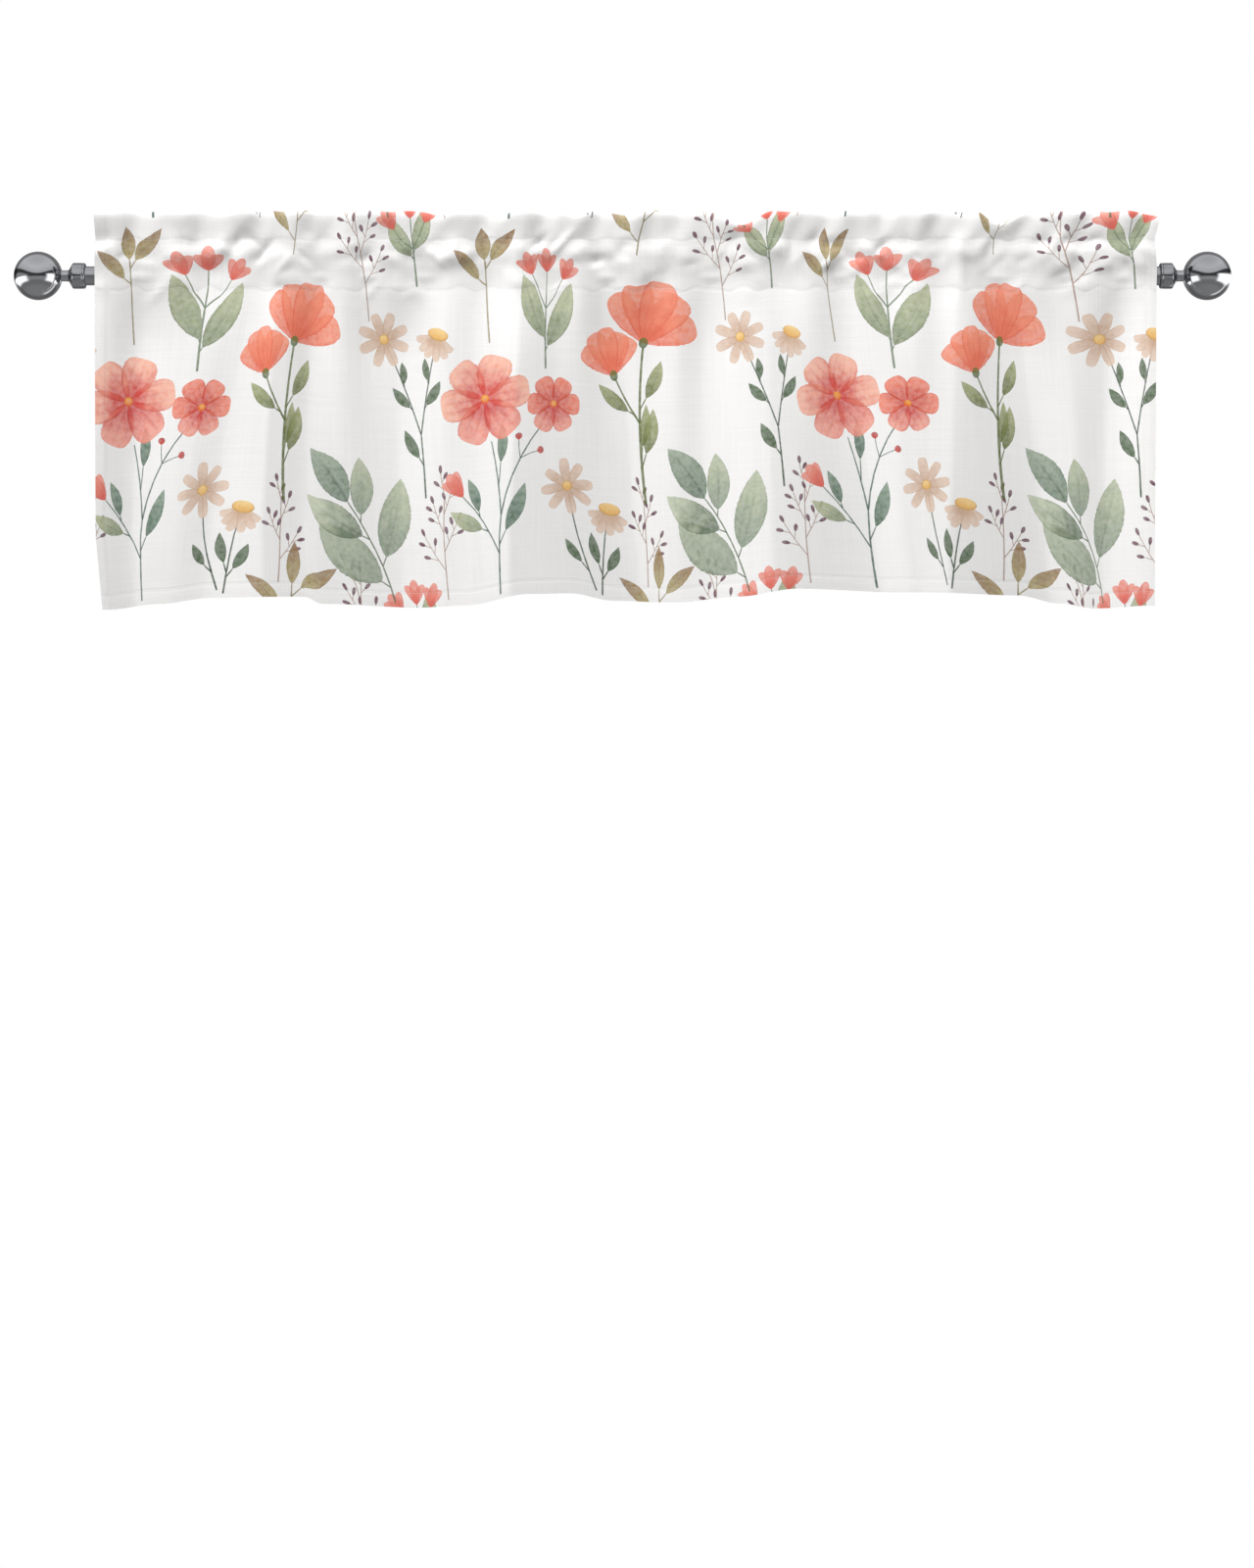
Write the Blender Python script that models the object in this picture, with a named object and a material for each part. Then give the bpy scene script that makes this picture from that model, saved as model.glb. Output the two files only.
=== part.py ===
"""Window valance with a gathered rod pocket, hanging on a round rod with ball finials.

Metres, +Z up. The rod's axis is the X axis, its middle is the origin, and the face of the cloth
that is seen in the room looks towards -Y. The cloth is one sheet: a heading of two layers over the
pocket, the pocket's two layers round the rod, and a single skirt with a turned hem below it.
"""

import math
from collections import namedtuple

import bmesh
import bpy

MM = 0.001
GAP = 0.3 * MM

# Rod, end caps and finials
ROD_RADIUS = 11.0 * MM
ROD_FACETS = 32
CAP_INNER_X = 621.0 * MM
CAP_OUTER_X = 640.0 * MM
CAP_RADIUS = 14.9 * MM
CAP_SHOULDER = 4.5 * MM
CAP_SOCKET_DEPTH = 12.0 * MM
CAP_CHAMFER = 1.2 * MM
NECK_RADIUS = 6.7 * MM
SPIGOT_RADIUS = 4.0 * MM
SPIGOT_LENGTH = 4.0 * MM
BALL_CENTRE_X = 676.0 * MM
BALL_RADIUS = 28.0 * MM
BALL_BANDS = 13
TURNED_STEPS = 32

# Cloth, by height above the rod's axis
SHEET = 1.5 * MM
HEADING_THICK = 2 * SHEET
HEADING_TOP_Z = 72.8 * MM
UPPER_SEAM_Z = 41.0 * MM
LOWER_SEAM_Z = -15.5 * MM
HEM_MIDDLE_Z = -375.0 * MM
POCKET_RADIUS = 13.0 * MM
POCKET_APEX_Z = 38.5 * MM
HEM_BAND = 16.0 * MM
HEM_THICK = 2.4 * MM
HEM_STEP = 2.0 * MM
STATION_PITCH = 12.4 * MM
FLANK_ROWS = 3
ARC_ROWS = 4
HEADING_ROWS = 3
SKIRT_ROWS = 6
SKIRT_ROW_CROWDING = 1.5

# Gathers: the pocket and heading ripple more closely than the skirt
POCKET_PUFF = 3.0 * MM
POCKET_RIPPLE = 66.0 * MM
POCKET_RIPPLE_START = 0.4
HEADING_SWAY = 4.5 * MM
HEADING_RIPPLE = 79.0 * MM
HEADING_RIPPLE_START = 1.9
SKIRT_RIPPLE_DEPTH = 2.2 * MM
RIPPLE_DRIFT = 330.0 * MM
RIPPLE_WANDER = 0.9

# How the folds grow below the pocket, and how crisp their crests are
FOLD_AT_SEAM = 0.30
FOLD_GROWTH_SHARE = 0.22
FOLD_SOFTNESS = 0.45

# Crests and troughs of the skirt, left to right, in mm: where each is along the rod and how far
# forward it comes, just under the pocket and at the hem. The first and last rows are the sides.
Fold = namedtuple("Fold", "top_x top_forward hem_x hem_forward")
FOLDS = (
    Fold(-610, 0, -602, 1),
    Fold(-557, -15, -564, -12),
    Fold(-462, 6, -516, -7),
    Fold(-430, 4, -487, -8),
    Fold(-400, 9, -416, 11),
    Fold(-360, -6, -360, -1),
    Fold(-328, -3, -321, -7),
    Fold(-262, -15, -253, -16),
    Fold(-203, 3, -197, 1),
    Fold(-172, -1, -165, 8),
    Fold(-117, 13, -130, 16),
    Fold(-4, -15, 23, -20),
    Fold(62, -2, 73, -9),
    Fold(91, -7, 98, -7),
    Fold(168, 6, 176, 16),
    Fold(257, -5, 302, -12),
    Fold(304, 8, 340, 1),
    Fold(386, 6, 378, 9),
    Fold(456, -9, 499, -20),
    Fold(510, -1, 540, -12),
    Fold(562, -13, 558, -11),
    Fold(617, 1, 616, 2),
)

# Height of the hem along the valance, in mm
HemPoint = namedtuple("HemPoint", "x z")
HEM_LINE = (
    HemPoint(-602, -386),
    HemPoint(-538, -379),
    HemPoint(-476, -372),
    HemPoint(-368, -371),
    HemPoint(-348, -379),
    HemPoint(-232, -383),
    HemPoint(-184, -381),
    HemPoint(-104, -368),
    HemPoint(-60, -367),
    HemPoint(-10, -375),
    HemPoint(62, -377),
    HemPoint(132, -371),
    HemPoint(206, -362),
    HemPoint(343, -366),
    HemPoint(459, -369),
    HemPoint(508, -378),
    HemPoint(547, -384),
    HemPoint(616, -381),
)

# Dips in the heading's top edge, in mm
Dip = namedtuple("Dip", "x depth half_width")
HEADING_DIPS = (
    Dip(-208, 5, 22),
    Dip(-144, 5, 22),
    Dip(-50, 5, 20),
    Dip(3, 5, 26),
    Dip(137, 16, 36),
    Dip(437, 14, 34),
    Dip(628, 8, 40),
)

# The cloth's two side edges by height, in mm
SideEdge = namedtuple("SideEdge", "z left right")
SIDE_EDGES = (
    SideEdge(73, -611.5, 624),
    SideEdge(41, -609.5, 615),
    SideEdge(8, -610.0, 617),
    SideEdge(-300, -609.0, 615),
    SideEdge(-386, -602.0, 616),
)

# What the pieces look like: colour, roughness and metallic value
Finish = namedtuple("Finish", "colour roughness metallic")
PRINTED_CLOTH = Finish((0.90, 0.89, 0.88, 1.0), 0.85, 0.0)
ROD_METAL = Finish((0.42, 0.43, 0.45, 1.0), 0.25, 1.0)
CAP_METAL = Finish((0.38, 0.39, 0.41, 1.0), 0.20, 1.0)
FINIAL_METAL = Finish((0.38, 0.39, 0.41, 1.0), 0.15, 1.0)


def clear_scene():
    """Removes whatever the file opened with."""
    for thing in list(bpy.data.objects):
        bpy.data.objects.remove(thing)


def material(name, finish):
    """A plain Principled material."""
    made = bpy.data.materials.new(name)
    made.use_nodes = True
    shader = made.node_tree.nodes["Principled BSDF"]
    shader.inputs["Base Color"].default_value = finish.colour
    shader.inputs["Roughness"].default_value = finish.roughness
    shader.inputs["Metallic"].default_value = finish.metallic
    return made


def add_object(name, bm, finish_material):
    """Turns a bmesh into a named, smooth-shaded object of the scene."""
    bmesh.ops.recalc_face_normals(bm, faces=bm.faces)
    mesh = bpy.data.meshes.new(name)
    bm.to_mesh(mesh)
    bm.free()
    mesh.shade_smooth()
    mesh.set_sharp_from_angle(angle=math.radians(35))
    mesh.materials.append(finish_material)
    made = bpy.data.objects.new(name, mesh)
    bpy.context.scene.collection.objects.link(made)
    return made


def eased(table, x):
    """Value at x through rows of (place, value), level at every row, like a soft wave."""
    if x <= table[0][0]:
        return table[0][1]
    for (x0, v0), (x1, v1) in zip(table, table[1:]):
        if x <= x1:
            share = (x - x0) / (x1 - x0)
            return v0 + (v1 - v0) * (1 - math.cos(math.pi * share)) / 2
    return table[-1][1]


def straight(table, x):
    """Value at x through rows of (place, value), in straight runs."""
    if x <= table[0][0]:
        return table[0][1]
    for (x0, v0), (x1, v1) in zip(table, table[1:]):
        if x <= x1:
            return v0 + (v1 - v0) * (x - x0) / (x1 - x0)
    return table[-1][1]


def ripple(x, length, start):
    """An uneven wave from -1 to 1 along the rod."""
    wander = RIPPLE_WANDER * math.sin(math.tau * x / RIPPLE_DRIFT + start)
    return math.sin(math.tau * x / length + wander + start)


def hem_z(x):
    """Height of the hem's lower edge."""
    return eased([(p.x, p.z) for p in HEM_LINE], x / MM) * MM


def heading_top_z(x):
    """Height of the heading's top edge."""
    sunk = 0.0
    for dip in HEADING_DIPS:
        off = abs(x / MM - dip.x) / dip.half_width
        if off < 1:
            sunk += dip.depth * MM * (1 + math.cos(math.pi * off)) / 2
    return HEADING_TOP_Z - sunk


def stations():
    """Places across the cloth, each a fold's number and the share of the way to the next fold."""
    places = []
    for number, (fold, after) in enumerate(zip(FOLDS, FOLDS[1:])):
        pieces = max(2, round((after.top_x - fold.top_x) * MM / STATION_PITCH))
        places += [(number, piece / pieces) for piece in range(pieces)]
    places.append((len(FOLDS) - 2, 1.0))
    return places


def down_share(z):
    """How far down the skirt height z is: 0 at the lower seam, 1 at the hem."""
    return max(0.0, (LOWER_SEAM_Z - z) / (LOWER_SEAM_Z - HEM_MIDDLE_Z))


def fold_x(fold, z):
    """Where a fold's line is along the rod at height z, in mm."""
    return fold.top_x + (fold.hem_x - fold.top_x) * down_share(z)


def cloth_x(station, z):
    """X of the cloth at a station and height: fold lines are fitted between the two side edges."""
    number, share = station
    first, here, after, last = (fold_x(FOLDS[i], z) for i in (0, number, number + 1, -1))
    across = (here + (after - here) * share - first) / (last - first)
    rows = list(reversed(SIDE_EDGES))
    left = straight([(e.z, e.left) for e in rows], z / MM)
    right = straight([(e.z, e.right) for e in rows], z / MM)
    return (left + (right - left) * across) * MM


def skirt_y(station, z):
    """Depth of the skirt's middle surface at a station and height."""
    number, share = station
    here, after = FOLDS[number], FOLDS[number + 1]
    down = down_share(z)
    soft = share + FOLD_SOFTNESS * ((1 - math.cos(math.pi * share)) / 2 - share)
    top = here.top_forward + (after.top_forward - here.top_forward) * soft
    hem = here.hem_forward + (after.hem_forward - here.hem_forward) * soft
    grown = math.sin(math.pi / 2 * min(1.0, down / FOLD_GROWTH_SHARE))
    forward = (top + (hem - top) * down) * MM * (FOLD_AT_SEAM + (1 - FOLD_AT_SEAM) * grown)
    fine = SKIRT_RIPPLE_DEPTH * ripple(cloth_x(station, z), POCKET_RIPPLE, POCKET_RIPPLE_START)
    return -forward - fine * max(0.0, 1 - down) ** 3


def heading_pairs(x):
    """(front, back) points of the heading, from its top edge down to the upper seam."""
    top = heading_top_z(x)
    pairs = []
    for row in range(HEADING_ROWS):
        share = row / (HEADING_ROWS - 1)
        z = top + (UPPER_SEAM_Z - top) * share
        y = HEADING_SWAY * ripple(x, HEADING_RIPPLE, HEADING_RIPPLE_START) * (1 - share)
        pairs.append(((y - HEADING_THICK / 2, z), (y + HEADING_THICK / 2, z)))
    return pairs


def pocket_pairs(x):
    """(outer, inner) points of the pocket's front layer, from under the upper seam to the rod's underside.

    The layer runs straight from the apex to where it meets a circle round the rod, then follows
    the circle. The gathers puff it away from the rod.
    """
    half_angle = math.asin(POCKET_RADIUS / POCKET_APEX_Z)
    puff = POCKET_PUFF * (1 + ripple(x, POCKET_RIPPLE, POCKET_RIPPLE_START)) / 2
    pairs = []
    for row in range(1, FLANK_ROWS + 1):
        share = row / FLANK_ROWS
        along = share * POCKET_APEX_Z * math.cos(half_angle)
        depth = along * math.sin(half_angle) + puff * math.sin(math.pi / 2 * share)
        z = POCKET_APEX_Z - along * math.cos(half_angle)
        out_y, out_z = SHEET * math.cos(half_angle), SHEET * math.sin(half_angle)
        pairs.append(((depth + out_y, z + out_z), (depth, z)))
    for row in range(1, ARC_ROWS + 1):
        share = row / (ARC_ROWS + 1)
        turn = half_angle - share * (math.pi / 2 + half_angle)
        swell = puff * math.cos(math.pi / 2 * share) ** 2
        inner = (POCKET_RADIUS * math.cos(turn) + swell, POCKET_RADIUS * math.sin(turn))
        outer = (inner[0] + SHEET * math.cos(turn), inner[1] + SHEET * math.sin(turn))
        pairs.append((outer, inner))
    return pairs


def skirt_pairs(station):
    """(front, back) points of the skirt, from the lower seam to the hem's edge."""
    hem = hem_z(cloth_x(station, HEM_MIDDLE_Z))
    band_top = hem + HEM_BAND
    downs = [(row / SKIRT_ROWS) ** SKIRT_ROW_CROWDING for row in range(SKIRT_ROWS)]
    rows = [(LOWER_SEAM_Z + (band_top - LOWER_SEAM_Z) * down, SHEET) for down in downs]
    rows += [(band_top, SHEET), (band_top - HEM_STEP, HEM_THICK), (hem, HEM_THICK)]
    pairs = []
    for z, thick in rows:
        front = skirt_y(station, z) - SHEET / 2
        pairs.append(((front, z), (front + thick, z)))
    return pairs


def section(station):
    """The sheet's cross-section at a station: its points, and the faces between them.

    Each point is (x, y, z). Every section has the same points in the same order.
    """
    points = []

    def place(y, z):
        points.append((cloth_x(station, z), y, z))
        return len(points) - 1

    faces = []
    heading = [(place(*f), place(*b)) for f, b in heading_pairs(cloth_x(station, HEADING_TOP_Z))]
    for (f0, b0), (f1, b1) in zip(heading, heading[1:]):
        faces.append((f0, b0, b1, f1))

    apex = place(0.0, POCKET_APEX_Z)
    nadir = place(0.0, -POCKET_RADIUS)
    skirt = [(place(*f), place(*b)) for f, b in skirt_pairs(station)]
    faces.append((heading[-1][0], heading[-1][1], apex))
    faces.append((skirt[0][0], nadir, skirt[0][1]))
    pocket = pocket_pairs(cloth_x(station, 0.0))
    for side, way in ((0, -1), (1, 1)):
        layer = [(heading[-1][side], apex)]
        for outer, inner in pocket:
            layer.append((place(way * outer[0], outer[1]), place(way * inner[0], inner[1])))
        layer.append((skirt[0][side], nadir))
        for (o0, i0), (o1, i1) in zip(layer, layer[1:]):
            faces.append((o0, i0, i1, o1))

    for (f0, b0), (f1, b1) in zip(skirt, skirt[1:]):
        faces.append((f0, b0, b1, f1))
    return points, faces


def make_cloth(finish_material):
    """The whole valance as one solid: its end section, extruded from station to station."""
    bm = bmesh.new()
    number = bm.verts.layers.int.new("section_point")
    first, *others = stations()
    points, faces = section(first)
    verts = [bm.verts.new(p) for p in points]
    for index, vert in enumerate(verts):
        vert[number] = index
    end = [bm.faces.new([verts[i] for i in face]) for face in faces]
    for station in others:
        points, _ = section(station)
        rims = list({edge for face in end for edge in face.edges})
        made = bmesh.ops.extrude_face_region(bm, geom=end + rims)["geom"]
        end = [g for g in made if isinstance(g, bmesh.types.BMFace)]
        for vert in (g for g in made if isinstance(g, bmesh.types.BMVert)):
            vert.co = points[vert[number]]
    return add_object("valance", bm, finish_material)


def turned(name, profile, closed, finish_material):
    """A piece turned about the X axis from (x, radius) points; a closed profile makes a ring."""
    bm = bmesh.new()
    verts = [bm.verts.new((x, 0.0, radius)) for x, radius in profile]
    edges = [bm.edges.new(pair) for pair in zip(verts, verts[1:])]
    if closed:
        edges.append(bm.edges.new((verts[-1], verts[0])))
    bmesh.ops.spin(
        bm,
        geom=verts + edges,
        cent=(0, 0, 0),
        axis=(1, 0, 0),
        angle=math.tau,
        steps=TURNED_STEPS,
        use_merge=True,
    )
    bmesh.ops.remove_doubles(bm, verts=bm.verts, dist=0.001 * MM)
    return add_object(name, bm, finish_material)


def make_rod(finish_material):
    """The rod, whose ends sit in the end caps' sockets."""
    end = CAP_INNER_X + CAP_SOCKET_DEPTH - GAP
    bm = bmesh.new()
    bmesh.ops.create_cone(
        bm,
        cap_ends=True,
        segments=ROD_FACETS,
        radius1=ROD_RADIUS,
        radius2=ROD_RADIUS,
        depth=2 * end,
    )
    made = add_object("rod", bm, finish_material)
    made.rotation_euler = (0, math.pi / 2, 0)
    return made


def make_end_cap(name, side, finish_material):
    """A turned cap: a socket over the rod's end, a rounded body and a cone down to the neck."""
    socket_end = CAP_INNER_X + CAP_SOCKET_DEPTH
    profile = (
        (CAP_INNER_X, ROD_RADIUS + GAP),
        (CAP_INNER_X, CAP_RADIUS - CAP_CHAMFER),
        (CAP_INNER_X + CAP_CHAMFER / 2, CAP_RADIUS - CAP_CHAMFER / 3),
        (CAP_INNER_X + CAP_CHAMFER * 1.5, CAP_RADIUS),
        (CAP_OUTER_X - CAP_SHOULDER - CAP_CHAMFER, CAP_RADIUS),
        (CAP_OUTER_X - CAP_SHOULDER, CAP_RADIUS - CAP_CHAMFER / 2),
        (CAP_OUTER_X, NECK_RADIUS + CAP_CHAMFER),
        (CAP_OUTER_X, SPIGOT_RADIUS + GAP),
        (socket_end, SPIGOT_RADIUS + GAP),
        (socket_end, ROD_RADIUS + GAP),
    )
    return turned(name, [(side * x, radius) for x, radius in profile], True, finish_material)


def make_finial(name, side, finish_material):
    """A ball on a short neck, with a spigot that enters the end cap."""
    neck_end = CAP_OUTER_X + GAP
    meets = math.asin(NECK_RADIUS / BALL_RADIUS)
    profile = [
        (neck_end - SPIGOT_LENGTH, 0.0),
        (neck_end - SPIGOT_LENGTH, SPIGOT_RADIUS),
        (neck_end, SPIGOT_RADIUS),
        (neck_end, NECK_RADIUS),
    ]
    for band in range(BALL_BANDS + 1):
        turn = meets + (math.pi - meets) * band / BALL_BANDS
        radius = BALL_RADIUS * math.sin(turn) if band < BALL_BANDS else 0.0
        profile.append((BALL_CENTRE_X - BALL_RADIUS * math.cos(turn), radius))
    return turned(name, [(side * x, radius) for x, radius in profile], False, finish_material)


def main():
    clear_scene()
    make_cloth(material("printed_cloth", PRINTED_CLOTH))
    make_rod(material("rod_metal", ROD_METAL))
    cap_metal = material("cap_metal", CAP_METAL)
    finial_metal = material("finial_metal", FINIAL_METAL)
    for word, side in (("left", -1), ("right", 1)):
        make_end_cap(f"end_cap_{word}", side, cap_metal)
        make_finial(f"finial_{word}", side, finial_metal)


main()
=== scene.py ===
"""Looks of a short gathered window valance on a round rod with ball finials.

The cloth is one sheet, laid out flat as a grid of small cells and then hung in its folds. Its print
is painted flower by flower on the flat sheet, in strokes that each cell carries to the shader.
"""

import logging
import math
from collections.abc import Callable
from dataclasses import dataclass, field
from enum import Enum
from typing import ClassVar, NamedTuple

import bmesh
import bpy
import numpy as np
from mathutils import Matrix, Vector


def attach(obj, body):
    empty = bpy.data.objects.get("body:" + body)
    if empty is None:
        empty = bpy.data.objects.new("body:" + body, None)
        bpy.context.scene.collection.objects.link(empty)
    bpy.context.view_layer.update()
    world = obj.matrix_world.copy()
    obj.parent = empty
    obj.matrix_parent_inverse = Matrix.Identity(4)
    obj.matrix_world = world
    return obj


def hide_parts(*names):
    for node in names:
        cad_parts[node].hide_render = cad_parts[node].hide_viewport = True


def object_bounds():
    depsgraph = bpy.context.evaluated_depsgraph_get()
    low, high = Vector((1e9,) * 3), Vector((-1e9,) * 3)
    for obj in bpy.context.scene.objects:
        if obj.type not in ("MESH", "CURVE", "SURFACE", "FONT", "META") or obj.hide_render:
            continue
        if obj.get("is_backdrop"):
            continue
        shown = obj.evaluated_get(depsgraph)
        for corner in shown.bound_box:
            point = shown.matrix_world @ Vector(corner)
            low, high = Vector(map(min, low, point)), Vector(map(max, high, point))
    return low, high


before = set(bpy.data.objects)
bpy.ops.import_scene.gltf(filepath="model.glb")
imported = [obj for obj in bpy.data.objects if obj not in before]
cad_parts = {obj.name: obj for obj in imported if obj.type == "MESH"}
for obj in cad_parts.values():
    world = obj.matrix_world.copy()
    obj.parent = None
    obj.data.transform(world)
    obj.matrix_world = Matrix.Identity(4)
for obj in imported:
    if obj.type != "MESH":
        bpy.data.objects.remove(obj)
CAD_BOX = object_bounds()
LOG = logging.getLogger("valance")
MM = 0.001


def linear(colour: tuple[float, float, float]) -> tuple[float, float, float, float]:
    """Turns a colour on a 0 to 255 screen scale into a shader colour.

    Args:
        colour: Red, green and blue from 0 to 255.

    Returns:
        The colour in linear light, with an alpha of 1.
    """
    parts = [c / 255 for c in colour]
    light = [c / 12.92 if c <= 0.04045 else ((c + 0.055) / 1.055) ** 2.4 for c in parts]
    return (*light, 1.0)


def eased(x: np.ndarray, places: list[float], values: list[float]) -> np.ndarray:
    """Reads a curve through the rows of a table that is level at every row.

    Args:
        x: Where to read it.
        places: The rows' places, rising.
        values: The rows' values.

    Returns:
        The value at each x.
    """
    where, what = np.array(places, float), np.array(values, float)
    row = np.clip(np.searchsorted(where, x, side="right") - 1, 0, len(where) - 2)
    share = np.clip((x - where[row]) / (where[row + 1] - where[row]), 0, 1)
    return what[row] + (what[row + 1] - what[row]) * (1 - np.cos(np.pi * share)) / 2


def through(x: np.ndarray, places: list[float], values: list[float]) -> np.ndarray:
    """Reads a smooth curve through the rows of a table.

    Args:
        x: Where to read it.
        places: The rows' places, rising.
        values: The rows' values.

    Returns:
        The value at each x.
    """
    where, what = np.array(places, float), np.array(values, float)
    slope = np.gradient(what, where)
    row = np.clip(np.searchsorted(where, x, side="right") - 1, 0, len(where) - 2)
    step = where[row + 1] - where[row]
    t = np.clip((x - where[row]) / step, 0, 1)
    start = what[row] * (1 + 2 * t) + step * slope[row] * t
    end = what[row + 1] * (3 - 2 * t) - step * slope[row + 1] * (1 - t)
    return start * (1 - t) ** 2 + end * t**2


def table(kind: type, *rows: tuple) -> tuple:
    """Makes a table whose rows are given as their columns' values, in order."""
    return tuple(kind(*row) for row in rows)


def placed(name: str, data: bpy.types.ID) -> bpy.types.Object:
    """Puts an object with its data into the scene."""
    made = bpy.data.objects.new(name, data)
    bpy.context.scene.collection.objects.link(made)
    return made


def mesh_of(bm: bmesh.types.BMesh, name: str) -> bpy.types.Mesh:
    """Turns finished working geometry into a mesh."""
    mesh = bpy.data.meshes.new(name)
    bm.to_mesh(mesh)
    bm.free()
    return mesh


# The print


class StrokeShape(NamedTuple):
    """How fast a painted stroke widens from its base and narrows to its tip."""

    base: float
    tip: float


LEAF = StrokeShape(0.80, 0.94)
LONG_LEAF = StrokeShape(0.92, 1.04)
ROUND_PETAL = StrokeShape(0.85, 0.34)
WIDE_PETAL = StrokeShape(0.62, 0.30)
TULIP_PETAL = StrokeShape(0.70, 0.52)
DAISY_PETAL = StrokeShape(0.50, 0.28)
DROP = StrokeShape(0.62, 0.48)
DISC = StrokeShape(0.50, 0.50)
LINE = StrokeShape(0.05, 0.05)


@dataclass(frozen=True)
class Paint:
    """One paint of the print: its colours at a stroke's base and tip, and its brush marks."""

    base: tuple[int, int, int]
    tip: tuple[int, int, int]
    shape: StrokeShape
    vein: float = 0.0
    streak: float = 0.0


class Ink(Enum):
    """The print's paints, in the order of the shader's colour bands."""

    DEEP_SAGE = Paint((112, 132, 112), (150, 164, 144), LEAF, 0.75, 0.30)
    PALE_SAGE = Paint((108, 124, 102), (196, 204, 178), LEAF, 0.35, 0.35)
    SAGE = Paint((140, 154, 134), (182, 190, 162), LEAF, 0.40, 0.45)
    BROAD_SAGE = Paint((148, 160, 140), (172, 182, 158), LEAF, 0.25, 0.40)
    UMBER = Paint((172, 156, 104), (150, 118, 82), LONG_LEAF, 0.60, 0.45)
    OLIVE = Paint((112, 122, 70), (160, 166, 118), LONG_LEAF, 0.45, 0.45)
    FOREST = Paint((72, 96, 62), (92, 112, 84), LONG_LEAF, 0.35, 0.25)
    TEAL = Paint((84, 112, 92), (126, 148, 128), LONG_LEAF, 0.40, 0.30)
    PALE_GREEN = Paint((138, 150, 118), (184, 190, 154), LONG_LEAF, 0.40, 0.55)
    POPPY = Paint((232, 120, 96), (244, 150, 122), ROUND_PETAL, 0.0, 0.50)
    ROSE = Paint((214, 84, 76), (248, 186, 162), WIDE_PETAL, 0.0, 0.90)
    DEEP_ROSE = Paint((208, 82, 78), (242, 162, 144), WIDE_PETAL, 0.0, 0.90)
    SCARLET = Paint((206, 80, 66), (240, 138, 114), ROUND_PETAL, 0.0, 0.80)
    CORAL = Paint((222, 112, 100), (238, 152, 136), TULIP_PETAL, 0.0, 0.35)
    PEACH = Paint((206, 174, 150), (228, 203, 184), DAISY_PETAL, 0.0, 0.45)
    HONEY = Paint((236, 190, 118), (244, 212, 150), DISC, 0.0, 0.30)
    AMBER = Paint((226, 112, 44), (240, 168, 52), DISC)
    OCHRE = Paint((214, 166, 98), (222, 182, 118), DISC)
    PLUM = Paint((92, 48, 66), (122, 82, 100), DROP)
    BERRY = Paint((206, 70, 58), (176, 60, 56), DROP)
    SAGE_STEM = Paint((104, 118, 96), (124, 136, 112), LINE)
    OLIVE_STEM = Paint((92, 104, 54), (112, 124, 74), LINE)
    DARK_STEM = Paint((64, 82, 66), (84, 100, 82), LINE)
    TEAL_STEM = Paint((72, 96, 88), (104, 124, 110), LINE)
    TWIG = Paint((178, 152, 142), (186, 164, 150), LINE)
    BROWN_STEM = Paint((152, 144, 110), (168, 150, 118), LINE)
    PALE_STEM = Paint((112, 130, 108), (138, 150, 122), LINE)
    CALYX = Paint((84, 104, 56), (112, 124, 70), DISC)

    @property
    def band(self) -> int:
        """The paint's number in the shader's colour bands, from 1."""
        return list(Ink).index(self) + 1


class Spot(NamedTuple):
    """A place on the flat cloth in mm, and a direction: 0 degrees is up, and 90 is to the right."""

    x: float
    y: float
    angle: float = 0.0

    def onward(self, length: float, turn: float = 0.0) -> "Spot":
        """The spot a straight way off, after a turn."""
        way = math.radians(self.angle + turn)
        return Spot(self.x + length * math.sin(way), self.y - length * math.cos(way), self.angle + turn)


@dataclass(frozen=True)
class Stem:
    """A stem that bows evenly all along."""

    foot: Spot
    length: float
    bow: float = 0.0

    def at(self, share: float, turn: float = 0.0) -> Spot:
        """A spot on the stem, looking along it or turned off it.

        Args:
            share: How far up the stem, from 0 to 1.
            turn: Degrees away from the stem's own direction there.

        Returns:
            The spot.
        """
        half = math.radians(self.bow * share) / 2
        chord = self.length * share * (math.sin(half) / half if half else 1.0)
        end = self.foot.onward(chord, self.bow * share / 2)
        return end._replace(angle=self.foot.angle + self.bow * share + turn)


class Stroke(NamedTuple):
    """One painted stroke on the flat cloth, in mm."""

    ink: Ink
    x0: float
    y0: float
    x1: float
    y1: float
    width: float
    bend: float = 0.0

    def moved(self, dx: float, dy: float) -> "Stroke":
        """The same stroke in another place."""
        return self._replace(x0=self.x0 + dx, x1=self.x1 + dx, y0=self.y0 + dy, y1=self.y1 + dy)

    def touches(self, across: np.ndarray, down: np.ndarray) -> bool:
        """Whether it can reach a cloth that spans these places."""
        for low, high, span in ((*sorted((self.x0, self.x1)), across), (*sorted((self.y0, self.y1)), down)):
            if high + self.width < span[0] or low - self.width > span[-1]:
                return False
        return True


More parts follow.
